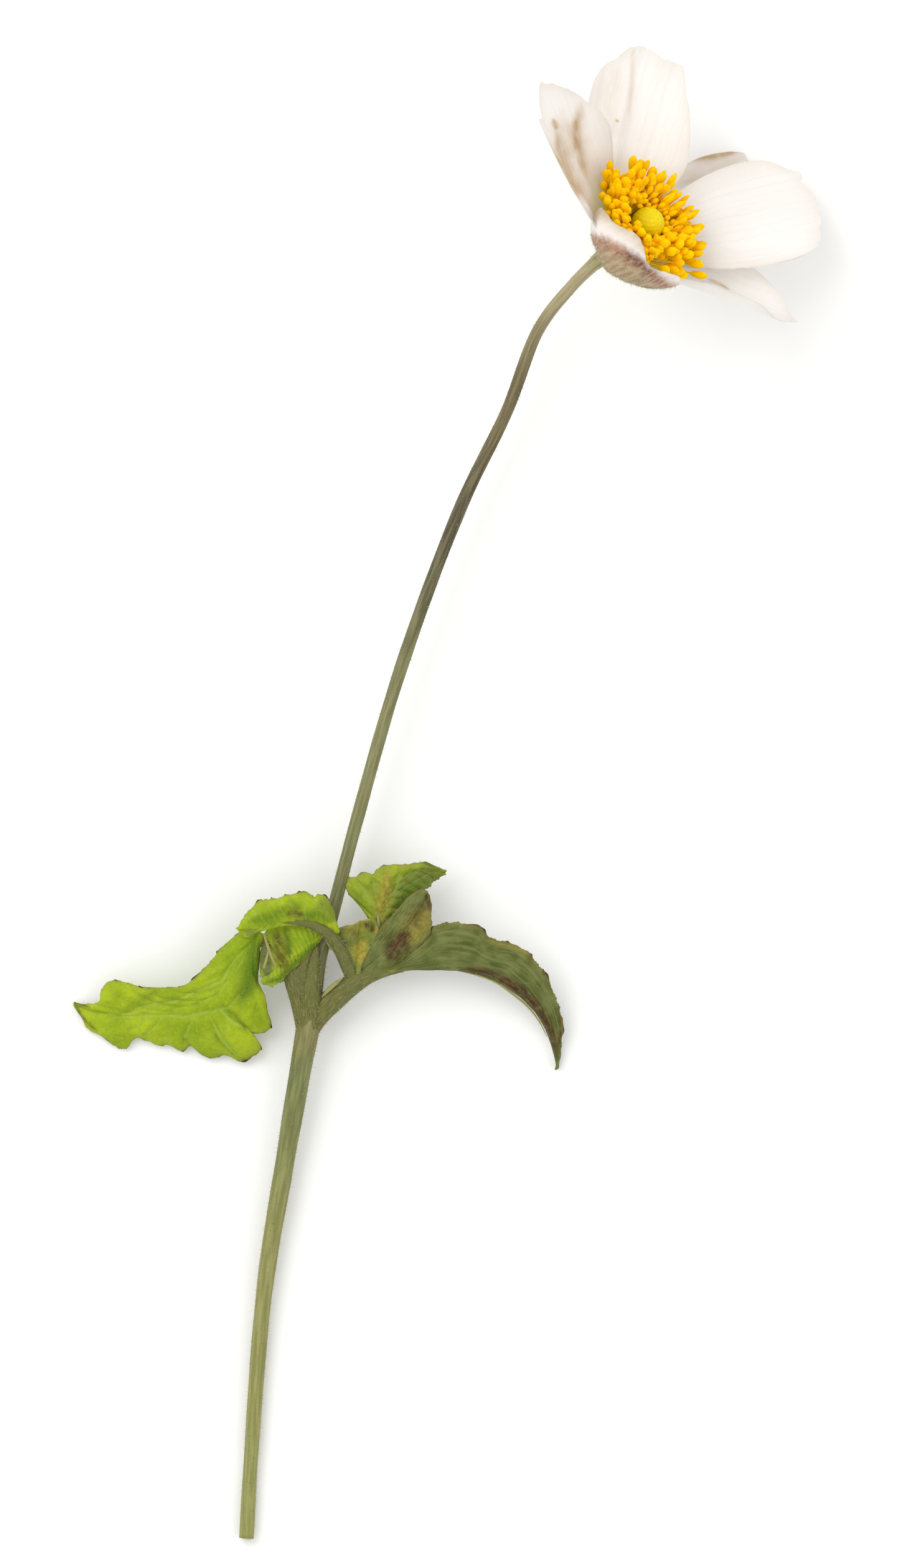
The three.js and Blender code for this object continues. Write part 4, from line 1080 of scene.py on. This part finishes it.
def hairs_on(shape, number, length, weight=None):
    """Spikes on a shape. Each root is a random point of a random face, chosen by area times weight, and the tip is
    root + length * (normal + a random lean). The foot is a triangle."""
    corners = np.array([face[:3] for face in face_list(shape[1])])
    first, second, third = (shape[0][corners[:, k]] for k in range(3))
    normal = np.cross(second - first, third - first)
    area = np.linalg.norm(normal, axis=1)
    chance = area * (1 if weight is None else weight[corners[:, 0]])
    picked = dice.choice(len(corners), number, p=chance / chance.sum())
    u, v = np.sort(dice.random((2, number, 1)), axis=0)
    root = first[picked] * u + second[picked] * (v - u) + third[picked] * (1 - v)
    normal = normal[picked] / area[picked, None]
    lean = dice.normal(0, HAIR_LEAN, (number, 3))
    tip = root + (normal + lean) * dice.uniform(0.4, 1.0, (number, 1)) * length
    keep = tip[:, 2] > ABOVE_TABLE
    root, tip, normal = root[keep], tip[keep], normal[keep]
    side_1 = np.cross(normal, [0.31, 0.53, 0.79])  # any direction that no normal runs along
    side_1 *= HAIR_FOOT / np.linalg.norm(side_1, axis=1, keepdims=True)
    side_2 = np.cross(normal, side_1)
    foot = [root + side_1 * np.cos(a) + side_2 * np.sin(a) for a in (0, 2 * np.pi / 3, 4 * np.pi / 3)]
    vertices = np.stack([*foot, tip], axis=1).reshape(-1, 3)
    spike = np.array([[0, 1, 3], [1, 2, 3], [2, 0, 3], [0, 2, 1]])
    return vertices, (np.arange(len(root))[:, None, None] * 4 + spike).reshape(-1, 3), {}


front = tepal_shapes["tepal_front"]
hair_shapes = {
    "stem_hairs": (hairs_on(stem, *STEM_HAIRS), "stem"),
    "tepal_hairs": (hairs_on(front, *TEPAL_HAIRS, (front[2]["bud"] > 0.3) * (1 - front[2]["upper"])), "tepal"),
}
for name, shape in leaf_shapes.items():
    downy = 0.12 + 2.0 * shape[2]["stalk"] + 0.8 * shape[2]["edge"]
    hair_shapes[name + "_hairs"] = (hairs_on(shape, *LEAF_HAIRS, downy), "leaf")
print("hairs:", {name: len(shape[1]) // 4 for name, (shape, _) in hair_shapes.items()})

# %% [markdown]
# ## Petal tissue
# A tepal is a few layers of clear cells with air between them, so it looks milk-white and lets light through.
# Subsurface scattering could make that glow, but on a sheet this thin a translucent shader mixed with a plain
# one does the same and renders faster. Hair-thin ridges run from claw to tip, and the surfaces carry the fields
# that say where old bruises and painted shade along folds lie, and where the outer tepal's back kept the rose-brown
# of the bud.

# %% Petal tissue
# It gives the eye a milk-white skin with faint ridges, a greenish claw, tan bruises with painted shade along folds
# and shaded rims, and a warm rim.
petal = new_material("petal_tissue")
place = add(petal, "TexCoord", out="Object")
field = {
    name: add(petal, "Attribute", out="Fac", attribute_name=name)
    for name in ("side", "share", "edge", "bruise", "bud", "streak", "upper")
}
# Each noise has a name, the size of its features in mm and its detail.
noise = {
    name: add(petal, "TexNoise", {"Vector": place, "Scale": per_mm(size), "Detail": detail})
    for name, size, detail in (
        ("wander", 4, 3), ("cloud", 5, 3), ("blotch", 2.5, 3), ("foot", 1.5, 3), ("pale", 0.35, 4),
        ("ragged", 1.2, 3), ("grain", 0.35, 3),
    )
}
wander = add(petal, "Math", (noise["wander"], 0.12, field["side"]), operation="MULTIPLY_ADD")
ridges, fine_ridges = (
    add(petal, "Math", (add(petal, "Math", (wander, angle), operation="MULTIPLY"),), operation="SINE")
    for angle in (44.0, 117.0)  # radians from the midline to the margin
)
grooves = add(petal, "Math", (fine_ridges, 0.4, ridges), operation="MULTIPLY_ADD")
lengthwise = [
    add(petal, "Math", (field[name], stretch), operation="MULTIPLY")
    for name, stretch in (("side", 6.0), ("share", 2.0))
]
fibres = add(petal, "TexNoise", {"Vector": add(petal, "CombineXYZ", lengthwise), "Scale": 3.0, "Detail": 6.0})
uneven = add(petal, "MapRange", (noise["blotch"], -0.1, 0.7), **SOFT_STEP)
fibrous = add(petal, "MapRange", (fibres, -0.5, 0.7), **SOFT_STEP)
blotches = add(petal, "Math", (uneven, fibrous), operation="MULTIPLY")
bruise_and_shade_strength = add(petal, "Math", (field["bruise"], blotches), operation="MULTIPLY", use_clamp=True)
white = add(petal, "Mix", {FACTOR: noise["cloud"], MIX_A: "#FCFAF8", MIX_B: "#F9F6F3"}, **COLOURS)
for strength, tint in (
    (add(petal, "MapRange", (grooves, 0.8, 1.4, 0, 0.3), **SOFT_STEP), "#EFE9E4"),  # ridges
    (add(petal, "MapRange", (field["share"], 0.32, 0.04), **SOFT_STEP), "#E9EAC2"),  # claw
    (add(petal, "Math", (field["edge"], 0.5), operation="MULTIPLY"), "#EAE4DC"),  # rim
    # tan bruises, with painted shade along folds and over shaded rims
    (bruise_and_shade_strength, "#C6A468"),
):
    white = add(petal, "Mix", {FACTOR: strength, MIX_A: white, MIX_B: tint}, **COLOURS)
print("petal tissue:", len(petal.node_tree.nodes), "nodes for the white skin")

# %% Back of the bud
# It gives the eye a rose-brown patch that turns olive towards the stalk, with a dark streak and pale flecks.
fibre_step = add(petal, "MapRange", (fibres, 0.35, 0.65), **SOFT_STEP)
rose, olive = (
    add(petal, "Mix", {FACTOR: fibre_step, MIX_A: dark, MIX_B: pale}, **COLOURS)
    for dark, pale in (("#9C6E58", "#D2AA90"), ("#A48C66", "#C8B492"))
)
near_stalk = add(petal, "Math", (noise["foot"], 1.5, field["bud"]), operation="MULTIPLY_ADD")
dark_fibres = add(petal, "MapRange", (fibres, 0.75, 0.4), **SOFT_STEP)
for strength, tint in (
    (add(petal, "MapRange", (near_stalk, 1.7, 3.6), **SOFT_STEP), olive),
    (add(petal, "Math", (field["streak"], dark_fibres), operation="MULTIPLY"), "#6A4230"),
    (add(petal, "MapRange", (noise["pale"], 0.5, 0.7, 0, 0.4), **SOFT_STEP), "#D8C8B8"),
):
    rose = add(petal, "Mix", {FACTOR: strength, MIX_A: rose, MIX_B: tint}, **COLOURS)
outside = add(petal, "Math", (1.0, field["upper"]), operation="SUBTRACT")
ragged = add(petal, "Math", (noise["ragged"], fibres), operation="ADD")
ragged = add(petal, "Math", (ragged, 1.1, field["bud"]), operation="MULTIPLY_ADD")
ragged = add(petal, "MapRange", (ragged, 0.5, 2.0), **SOFT_STEP)
patch = add(petal, "Math", (ragged, outside), operation="MULTIPLY")
white = add(petal, "Mix", {FACTOR: patch, MIX_A: white, MIX_B: rose}, **COLOURS)
relief = add(petal, "Math", (noise["grain"], 1.5, grooves), operation="MULTIPLY_ADD")
dents = add(petal, "Bump", {"Height": relief, "Distance": 0.03 * MM, "Strength": 0.3})
skin = {"Base Color": white, "Roughness": 0.5, "Normal": dents, "Specular IOR Level": 0.25}
skin = add(petal, "BsdfPrincipled", skin)
glow = add(petal, "BsdfTranslucent", {"Color": white, "Normal": dents})
add(petal, "OutputMaterial", (add(petal, "MixShader", (0.35, skin, glow)),))
print("petal tissue:", len(petal.node_tree.nodes), "nodes in all")

# %% [markdown]
# ## Pollen and filaments
# Pollen is a dry powder, so an anther is rough and hardly shines, and the light that enters it comes out again
# a hair's breadth away. Grains could be scattered over it as meshes, but they are too small to be seen one by
# one, so a fine bump stands for them. The filament below it is paler and clear.

# %% Stamen tissue
# It gives the eye a strong orange-yellow dust on pale yellow threads.
pollen = new_material("pollen_and_filament")
place = add(pollen, "TexCoord", out="Object")
field = {name: add(pollen, "Attribute", out="Fac", attribute_name=name) for name in ("own", "share", "anther")}
clumps, grains = (
    add(pollen, "TexNoise", {"Vector": place, "Scale": per_mm(size), "Detail": detail})
    for size, detail in ((0.16, 4), (0.09, 2))
)
clumps = add(pollen, "MapRange", (clumps, 0.45, 0.65), **SOFT_STEP)
upwards = add(pollen, "MapRange", (field["share"], 0.1, 0.7), **SOFT_STEP)
gold = add(pollen, "Mix", {FACTOR: field["own"], MIX_A: "#FFC400", MIX_B: "#FFD600"}, **COLOURS)
gold = add(pollen, "Mix", {FACTOR: clumps, MIX_A: gold, MIX_B: "#FFBC00"}, **COLOURS)
filament = add(pollen, "Mix", {FACTOR: upwards, MIX_A: "#FFE860", MIX_B: "#FFDC30"}, **COLOURS)
gold = add(pollen, "Mix", {FACTOR: field["anther"], MIX_A: filament, MIX_B: gold}, **COLOURS)
dust = {
    "Base Color": gold,
    "Roughness": 0.9,
    "Specular IOR Level": 0.1,
    "Normal": add(pollen, "Bump", {"Height": grains, "Distance": 0.05 * MM, "Strength": 0.4}),
    "Subsurface Weight": 0.15,
    "Subsurface Radius": (1.0, 0.6, 0.1),
    "Subsurface Scale": 0.5 * MM,
}
add(pollen, "OutputMaterial", (add(pollen, "BsdfPrincipled", dust),))
print("pollen and filament:", len(pollen.node_tree.nodes), "nodes")

# %% [markdown]
# ## Carpel skin
# Each carpel is a small moist bead. Its colour is painted paler on top of each bead and olive in the gap round it,
# as painted shade in the gaps. A texture would have to be lined up with the beads, so the colour follows a field
# instead: the surface carries how high each point stands on its bead.

# %% Carpel skin
# It gives the eye a yellow-green ball, slightly shiny, with painted shade darkening the gaps between the beads.
carpel_skin = new_material("carpel_skin")
raised = add(carpel_skin, "Attribute", out="Fac", attribute_name="bump")
raised = add(carpel_skin, "MapRange", (raised, 0.0, 0.75), **SOFT_STEP)
cloud = {"Vector": add(carpel_skin, "TexCoord", out="Object"), "Scale": per_mm(1.4), "Detail": 3}
cloud = add(carpel_skin, "MapRange", (add(carpel_skin, "TexNoise", cloud), 0.35, 0.7), **SOFT_STEP)
# painted shade: olive in the gaps between the beads, paler on their tops
green = add(carpel_skin, "Mix", {FACTOR: raised, MIX_A: "#CCB600", MIX_B: "#ECD800"}, **COLOURS)
green = add(carpel_skin, "Mix", {FACTOR: cloud, MIX_A: green, MIX_B: "#E4CC00"}, **COLOURS)
bead = add(carpel_skin, "BsdfPrincipled", {"Base Color": green, "Roughness": 0.5, "Specular IOR Level": 0.2})
add(carpel_skin, "OutputMaterial", (bead,))
print("carpel skin:", len(carpel_skin.node_tree.nodes), "nodes")

# %% [markdown]
# ## Stem skin
# The stem is leaf green below the joint and brown-olive above it, and pollen dusts the top of its knob. The
# colours could be painted on by hand, but a list of places along the rod is easier to read and to change: a
# soft step leads from each colour to the next. Its fibres show as fine lengthwise streaks.

# %% Stem skin
# It gives the eye a matt rod with lengthwise streaks, and a few brown flecks.
stem_skin = new_material("stem_skin")
STEM_COLOURS = [
    # share of the length where the colour is reached, colour
    (0.0, "#868740"),  # cut end
    (0.2, "#807F3C"),
    (0.33, "#646A2E"),  # leaf green under the joint
    (0.372, "#746C34"),  # joint
    (0.43, "#565A26"),  # foot of the flower stalk
    (0.57, "#737140"),
    (0.74, "#3E3212"),  # brownest stretch
    (0.84, "#5C4C26"),
    (0.95, "#A0936E"),  # bend under the bloom
    (0.97, "#8C8355"),
    (0.99, "#E0B428"),  # top of the knob, dusted with pollen
]
place = add(stem_skin, "TexCoord", out="Object")
along, around = (
    add(stem_skin, "Attribute", out="Fac", attribute_name=name) for name in ("along", "around")
)
flecks, grain = (
    add(stem_skin, "TexNoise", {"Vector": place, "Scale": per_mm(size), "Detail": detail})
    for size, detail in ((0.5, 4), (0.25, 3))
)
colour = STEM_COLOURS[0][1]
for (start, _), (end, shade) in zip(STEM_COLOURS, STEM_COLOURS[1:]):
    step = add(stem_skin, "MapRange", (along, start, end), **SOFT_STEP)
    colour = add(stem_skin, "Mix", {FACTOR: step, MIX_A: colour, MIX_B: shade}, **COLOURS)
unrolled = add(stem_skin, "CombineXYZ", (around, add(stem_skin, "Math", (along, 12.0), operation="MULTIPLY")))
streaks = add(stem_skin, "TexNoise", {"Vector": unrolled, "Scale": 2.4, "Detail": 5.0})
streaks = add(stem_skin, "MapRange", (streaks, 0.38, 0.66), **SOFT_STEP)
dark, pale = (
    add(stem_skin, "Mix", {FACTOR: strength, MIX_A: colour, MIX_B: tint}, **COLOURS)
    for strength, tint in ((0.16, "#3A3820"), (0.13, "#D4D49C"))
)
flecks = add(stem_skin, "MapRange", (flecks, 0.62, 0.72, 0, 0.4), **SOFT_STEP)
colour = add(stem_skin, "Mix", {FACTOR: streaks, MIX_A: dark, MIX_B: pale}, **COLOURS)
colour = add(stem_skin, "Mix", {FACTOR: flecks, MIX_A: colour, MIX_B: "#5A4A2C"}, **COLOURS)
dents = add(stem_skin, "Bump", {"Height": grain, "Distance": 0.03 * MM, "Strength": 0.6})
rod = add(stem_skin, "BsdfPrincipled", {"Base Color": colour, "Roughness": 0.55, "Normal": dents})
add(stem_skin, "OutputMaterial", (rod,))
print("stem skin:", len(stem_skin.node_tree.nodes), "nodes for", len(STEM_COLOURS), "colours along the stem")

# %% [markdown]
# ## Leaf skin
# The upper skin of a leaf is lime green, with pale veins sunk into it and a fine net between them. The
# underside is a dull grey-green, and old margins and folds turn yellow and then brown. Each lobe could have a
# finish of its own, but one finish serves them all and their stalks, because every surface carries fields
# that say how lime, pale or old it is at each point.

# %% Leaf fields and patterns
leaf_skin = new_material("leaf_skin")
place = add(leaf_skin, "TexCoord", out="Object")
FIELDS = "across ahead sunk lime dark vein base pale stalk yellow brown edge point".split()
field = {name: add(leaf_skin, "Attribute", out="Fac", attribute_name=name) for name in FIELDS}
noise = {
    name: add(leaf_skin, "TexNoise", {"Vector": place, "Scale": per_mm(size), "Detail": detail})
    for name, size, detail in (
        ("cloud", 5, 3), ("mottle", 0.45, 3), ("dull", 2.5, 5), ("patch", 3, 3), ("ageing", 1.6, 3),
        ("withering", 1.0, 5), ("grain", 0.18, 2),
    )
}
lengthwise = [
    add(leaf_skin, "Math", (field[name], stretch), operation="MULTIPLY")
    for name, stretch in (("across", 5.0), ("ahead", 4.0))
]
lengthwise = add(leaf_skin, "CombineXYZ", lengthwise)
fibres = add(leaf_skin, "TexNoise", {"Vector": lengthwise, "Scale": 3.0, "Detail": 5.0})
wobble = add(leaf_skin, "TexNoise", {"Vector": place, "Scale": per_mm(0.8)}, out="Color")
bent = add(leaf_skin, "VectorMath", (wobble, (0.5 * MM,) * 3, place), operation="MULTIPLY_ADD")
net = {"Vector": bent, "Scale": per_mm(0.55)}
net = add(leaf_skin, "TexVoronoi", net, out="Distance", feature="DISTANCE_TO_EDGE")
print("leaf skin:", len(FIELDS), "fields and", len(noise) + 2, "noises")

# %% Leaf greens
# They give the eye a fresh lime upper side, mottled and netted, a dull grey-green underside, and painted shade in
# the vein grooves and on the dark-marked folds.
lime = add(leaf_skin, "MapRange", (noise["cloud"], 0.3, 0.7), **SOFT_STEP)
lime = add(leaf_skin, "Mix", {FACTOR: lime, MIX_A: "#8CA600", MIX_B: "#B2C41A"}, **COLOURS)
for strength, tint in (
    # painted shade in the grooves of the veins
    (add(leaf_skin, "Math", (field["sunk"], 0.4), operation="MULTIPLY"), "#6F9400"),
    (add(leaf_skin, "MapRange", (noise["mottle"], 0.5, 0.7, 0, 0.3), **SOFT_STEP), "#B4C83A"),
    (add(leaf_skin, "MapRange", (noise["mottle"], 0.48, 0.3, 0, 0.3), **SOFT_STEP), "#7A9A04"),
):
    lime = add(leaf_skin, "Mix", {FACTOR: strength, MIX_A: lime, MIX_B: tint}, **COLOURS)
grey = add(leaf_skin, "MapRange", (noise["dull"], 0.35, 0.65), **SOFT_STEP)
grey = add(leaf_skin, "Mix", {FACTOR: grey, MIX_A: "#586124", MIX_B: "#727A3E"}, **COLOURS)
for strength, tint in (
    (add(leaf_skin, "MapRange", (fibres, 0.42, 0.7, 0, 0.45), **SOFT_STEP), "#8C945A"),
    (add(leaf_skin, "MapRange", (fibres, 0.5, 0.3, 0, 0.3), **SOFT_STEP), "#454E16"),
):
    grey = add(leaf_skin, "Mix", {FACTOR: strength, MIX_A: grey, MIX_B: tint}, **COLOURS)
patchy = add(leaf_skin, "Math", (field["lime"], 0.1), operation="SUBTRACT")
patchy = add(leaf_skin, "Math", (noise["patch"], 0.5, patchy), operation="MULTIPLY_ADD")
patchy = add(leaf_skin, "MapRange", (patchy, 0.2, 0.95), **SOFT_STEP)
threads = add(leaf_skin, "MapRange", (net, 0.12, 0.0), **SOFT_STEP)
threads = add(leaf_skin, "Math", (threads, field["lime"]), operation="MULTIPLY", use_clamp=True)
colour = add(leaf_skin, "Mix", {FACTOR: patchy, MIX_A: grey, MIX_B: lime}, **COLOURS)
vein_colour = add(leaf_skin, "Mix", {FACTOR: field["lime"], MIX_A: "#848E5E", MIX_B: "#B8CC52"}, **COLOURS)
for strength, tint in (
    # painted shade on folds and under edges, from the dark marks
    (add(leaf_skin, "Math", (field["dark"], 0.85), operation="MULTIPLY"), "#4E7000"),
    (add(leaf_skin, "Math", (threads, 0.08), operation="MULTIPLY"), "#C4D470"),
    (add(leaf_skin, "Math", (field["vein"], 0.6), operation="MULTIPLY"), vein_colour),
):
    colour = add(leaf_skin, "Mix", {FACTOR: strength, MIX_A: colour, MIX_B: tint}, **COLOURS)
print("leaf skin:", len(leaf_skin.node_tree.nodes), "nodes for the greens")

# %% Leaf stalks and old tissue
# They give the eye olive stalks with a browner foot, yellow folds, brown withered patches and dark tooth tips.
fibre_step = add(leaf_skin, "MapRange", (fibres, 0.35, 0.7), **SOFT_STEP)
stalk, foot = (
    add(leaf_skin, "Mix", {FACTOR: fibre_step, MIX_A: dark, MIX_B: pale}, **COLOURS)
    for dark, pale in (("#606430", "#868448"), ("#645E2C", "#8A8248"))
)
straw = add(leaf_skin, "Mix", {FACTOR: fibres, MIX_A: "#98984E", MIX_B: "#C4C07C"}, **COLOURS)
for strength, tint in ((field["base"], foot), (field["pale"], straw)):
    stalk = add(leaf_skin, "Mix", {FACTOR: strength, MIX_A: stalk, MIX_B: tint}, **COLOURS)
aged = add(leaf_skin, "MapRange", (noise["ageing"], 0.0, 0.55), **SOFT_STEP)
aged = add(leaf_skin, "Math", (field["yellow"], aged), operation="MULTIPLY", use_clamp=True)
withered = add(leaf_skin, "MapRange", (noise["withering"], 0.1, 0.6), **SOFT_STEP)
withered = add(leaf_skin, "Math", (field["brown"], withered), operation="MULTIPLY", use_clamp=True)
mottle_step = add(leaf_skin, "MapRange", (noise["mottle"], 0.35, 0.65), **SOFT_STEP)
yellow = add(leaf_skin, "Mix", {FACTOR: mottle_step, MIX_A: "#9A8E2C", MIX_B: "#B4A645"}, **COLOURS)
brown_step = add(leaf_skin, "MapRange", (fibres, 0.4, 0.65), **SOFT_STEP)
brown = add(leaf_skin, "Mix", {FACTOR: brown_step, MIX_A: "#422C0E", MIX_B: "#664C28"}, **COLOURS)
for strength, tint in (
    (field["stalk"], stalk),
    (aged, yellow),
    (withered, brown),
    (add(leaf_skin, "Math", (field["edge"], 0.5), operation="MULTIPLY"), "#978A4C"),
    (add(leaf_skin, "Math", (field["point"], 1.0), operation="MULTIPLY", use_clamp=True), "#4E3A22"),
):
    colour = add(leaf_skin, "Mix", {FACTOR: strength, MIX_A: colour, MIX_B: tint}, **COLOURS)
print("leaf skin:", len(leaf_skin.node_tree.nodes), "nodes with stalks and old tissue")

# %% Leaf surface
# It gives the eye a soft sheen broken by the net of veins, and a glow where light comes through the blade.
cells = add(leaf_skin, "MapRange", (net, 0.0, 0.3), **SOFT_STEP)
height = add(leaf_skin, "Math", (cells, 0.7, noise["grain"]), operation="MULTIPLY_ADD")
dents = add(leaf_skin, "Bump", {"Height": height, "Distance": 0.05 * MM, "Strength": 0.6})
blade = {"Base Color": colour, "Roughness": 0.55, "Normal": dents, "Specular IOR Level": 0.22}
blade = add(leaf_skin, "BsdfPrincipled", blade)
glow = add(leaf_skin, "BsdfTranslucent", {"Color": colour, "Normal": dents})
add(leaf_skin, "OutputMaterial", (add(leaf_skin, "MixShader", (0.2, blade, glow)),))
print("leaf skin:", len(leaf_skin.node_tree.nodes), "nodes in all")

# %% [markdown]
# ## Finish of the hairs
# Plant hairs are clear and thinner than the skin of a leaf, so they only show as a pale down along the rims.
# Solid spikes would look like frost, so a transparent shader takes more than half of each hair away.

# %% Finish of the hairs
# It gives the eye a faint pale down.
hair = new_material("plant_hair")
cloud = {"Vector": add(hair, "TexCoord", out="Object"), "Scale": per_mm(3), "Detail": 3}
tint = {FACTOR: add(hair, "TexNoise", cloud), MIX_A: "#C9CBA0", MIX_B: "#E4E2CC"}
strand = add(hair, "BsdfPrincipled", {"Base Color": add(hair, "Mix", tint, **COLOURS), "Roughness": 0.4})
wisp = add(hair, "MixShader", (0.6, add(hair, "BsdfTransparent"), strand))
add(hair, "OutputMaterial", (wisp,))
print("plant hair:", len(hair.node_tree.nodes), "nodes")

# %% [markdown]
# ## The pieces
# Each piece that has a CAD node stands for it and rides on the one rigid body, because nothing in a picked
# flower turns on a joint. The extra stamens and the hairs have no node of their own and only ride along. All
# surfaces are in millimetres up to here, and turn into metres as they become meshes.

# %% Put the pieces together
make_piece("stem_and_knob", stem, stem_skin, "stem", "stem")
make_piece("carpel_ball", carpel_head, carpel_skin, "carpel", "carpel_head")
for name, shape in tepal_shapes.items():
    make_piece(name + "_tissue", shape, petal, "tepal", name)
for number, shape in enumerate(cad_shapes, 1):
    make_piece(f"filament_and_anther_{number:02d}", shape, pollen, "stamen", f"stamen_{number:02d}")
make_piece("stamens_between", merge(more_shapes), pollen, "stamen")
for name, shape in leaf_shapes.items():
    make_piece(name + "_blade", shape, leaf_skin, "leaf", name)
for name, (shape, slot) in hair_shapes.items():
    make_piece(name, shape, hair, slot)

# %% [markdown]
# ## Table, light and camera
# The flower lies on pale matt paper under two soft boxes and an even white sky. Hard lamps would throw sharp
# shadows that hide the bent stalk, so the boxes are wide: the key comes from the left and the fill, a fifth as
# strong, from the right. The camera looks straight down through a long lens, which keeps the length of the
# stem true.

# %% Table
bpy.ops.mesh.primitive_plane_add(size=8)
table = bpy.context.object
table.name = "table_top"
paper = new_material("pale_paper")
matt = add(paper, "BsdfPrincipled", {"Base Color": "#F4F4F2", "Roughness": 0.8})
add(paper, "OutputMaterial", (matt,))
table.data.materials.append(paper)
print("table:", table.dimensions.x, "m wide")

# %% Light
SKY_STRENGTH = 0.95
world = bpy.data.worlds.new("studio")
bpy.context.scene.world = world
world.use_nodes = True
sky = world.node_tree.nodes["Background"].inputs
sky["Color"].default_value = linear("#FFFFFF")
sky["Strength"].default_value = SKY_STRENGTH
FLOWER_CENTRE = (0, 0, 0.01)
BOX_SIZE = 0.8  # m


def soft_box(name, place, size, power):
    """A square area light at a place in metres, turned to the middle of the flower."""
    lamp = bpy.data.lights.new(name, "AREA")
    lamp.size = size
    lamp.energy = power
    box = bpy.data.objects.new(name, lamp)
    box.location = place
    box.rotation_euler = (Vector(FLOWER_CENTRE) - Vector(place)).to_track_quat("-Z", "Y").to_euler()
    bpy.context.scene.collection.objects.link(box)
    return box


for name, place, power in (
    ("key_softbox", (-0.5, 0.45, 0.8), 4.6),
    ("fill_softbox", (0.7, -0.1, 0.6), 1.0),
):
    print(soft_box(name, place, BOX_SIZE, power).name, power, "W")

# %% Camera
LENS, SENSOR = 330, 36  # mm
VIEW_HEIGHT = 0.2188  # what the picture shows from top to bottom at the flower's height, in m
AIM = (0.0012, 0.0017, 0.01)
camera_data = bpy.data.cameras.new("camera")
camera = bpy.data.objects.new("camera", camera_data)
bpy.context.scene.collection.objects.link(camera)
camera_data.lens = LENS
camera_data.sensor_width = SENSOR
camera_data.clip_end = 20
camera.location = (AIM[0], AIM[1], AIM[2] + VIEW_HEIGHT * LENS / SENSOR)
bpy.context.scene.camera = camera
bpy.context.scene.view_settings.view_transform = "Standard"
print("camera:", round(camera.location.z, 2), "m above the table")
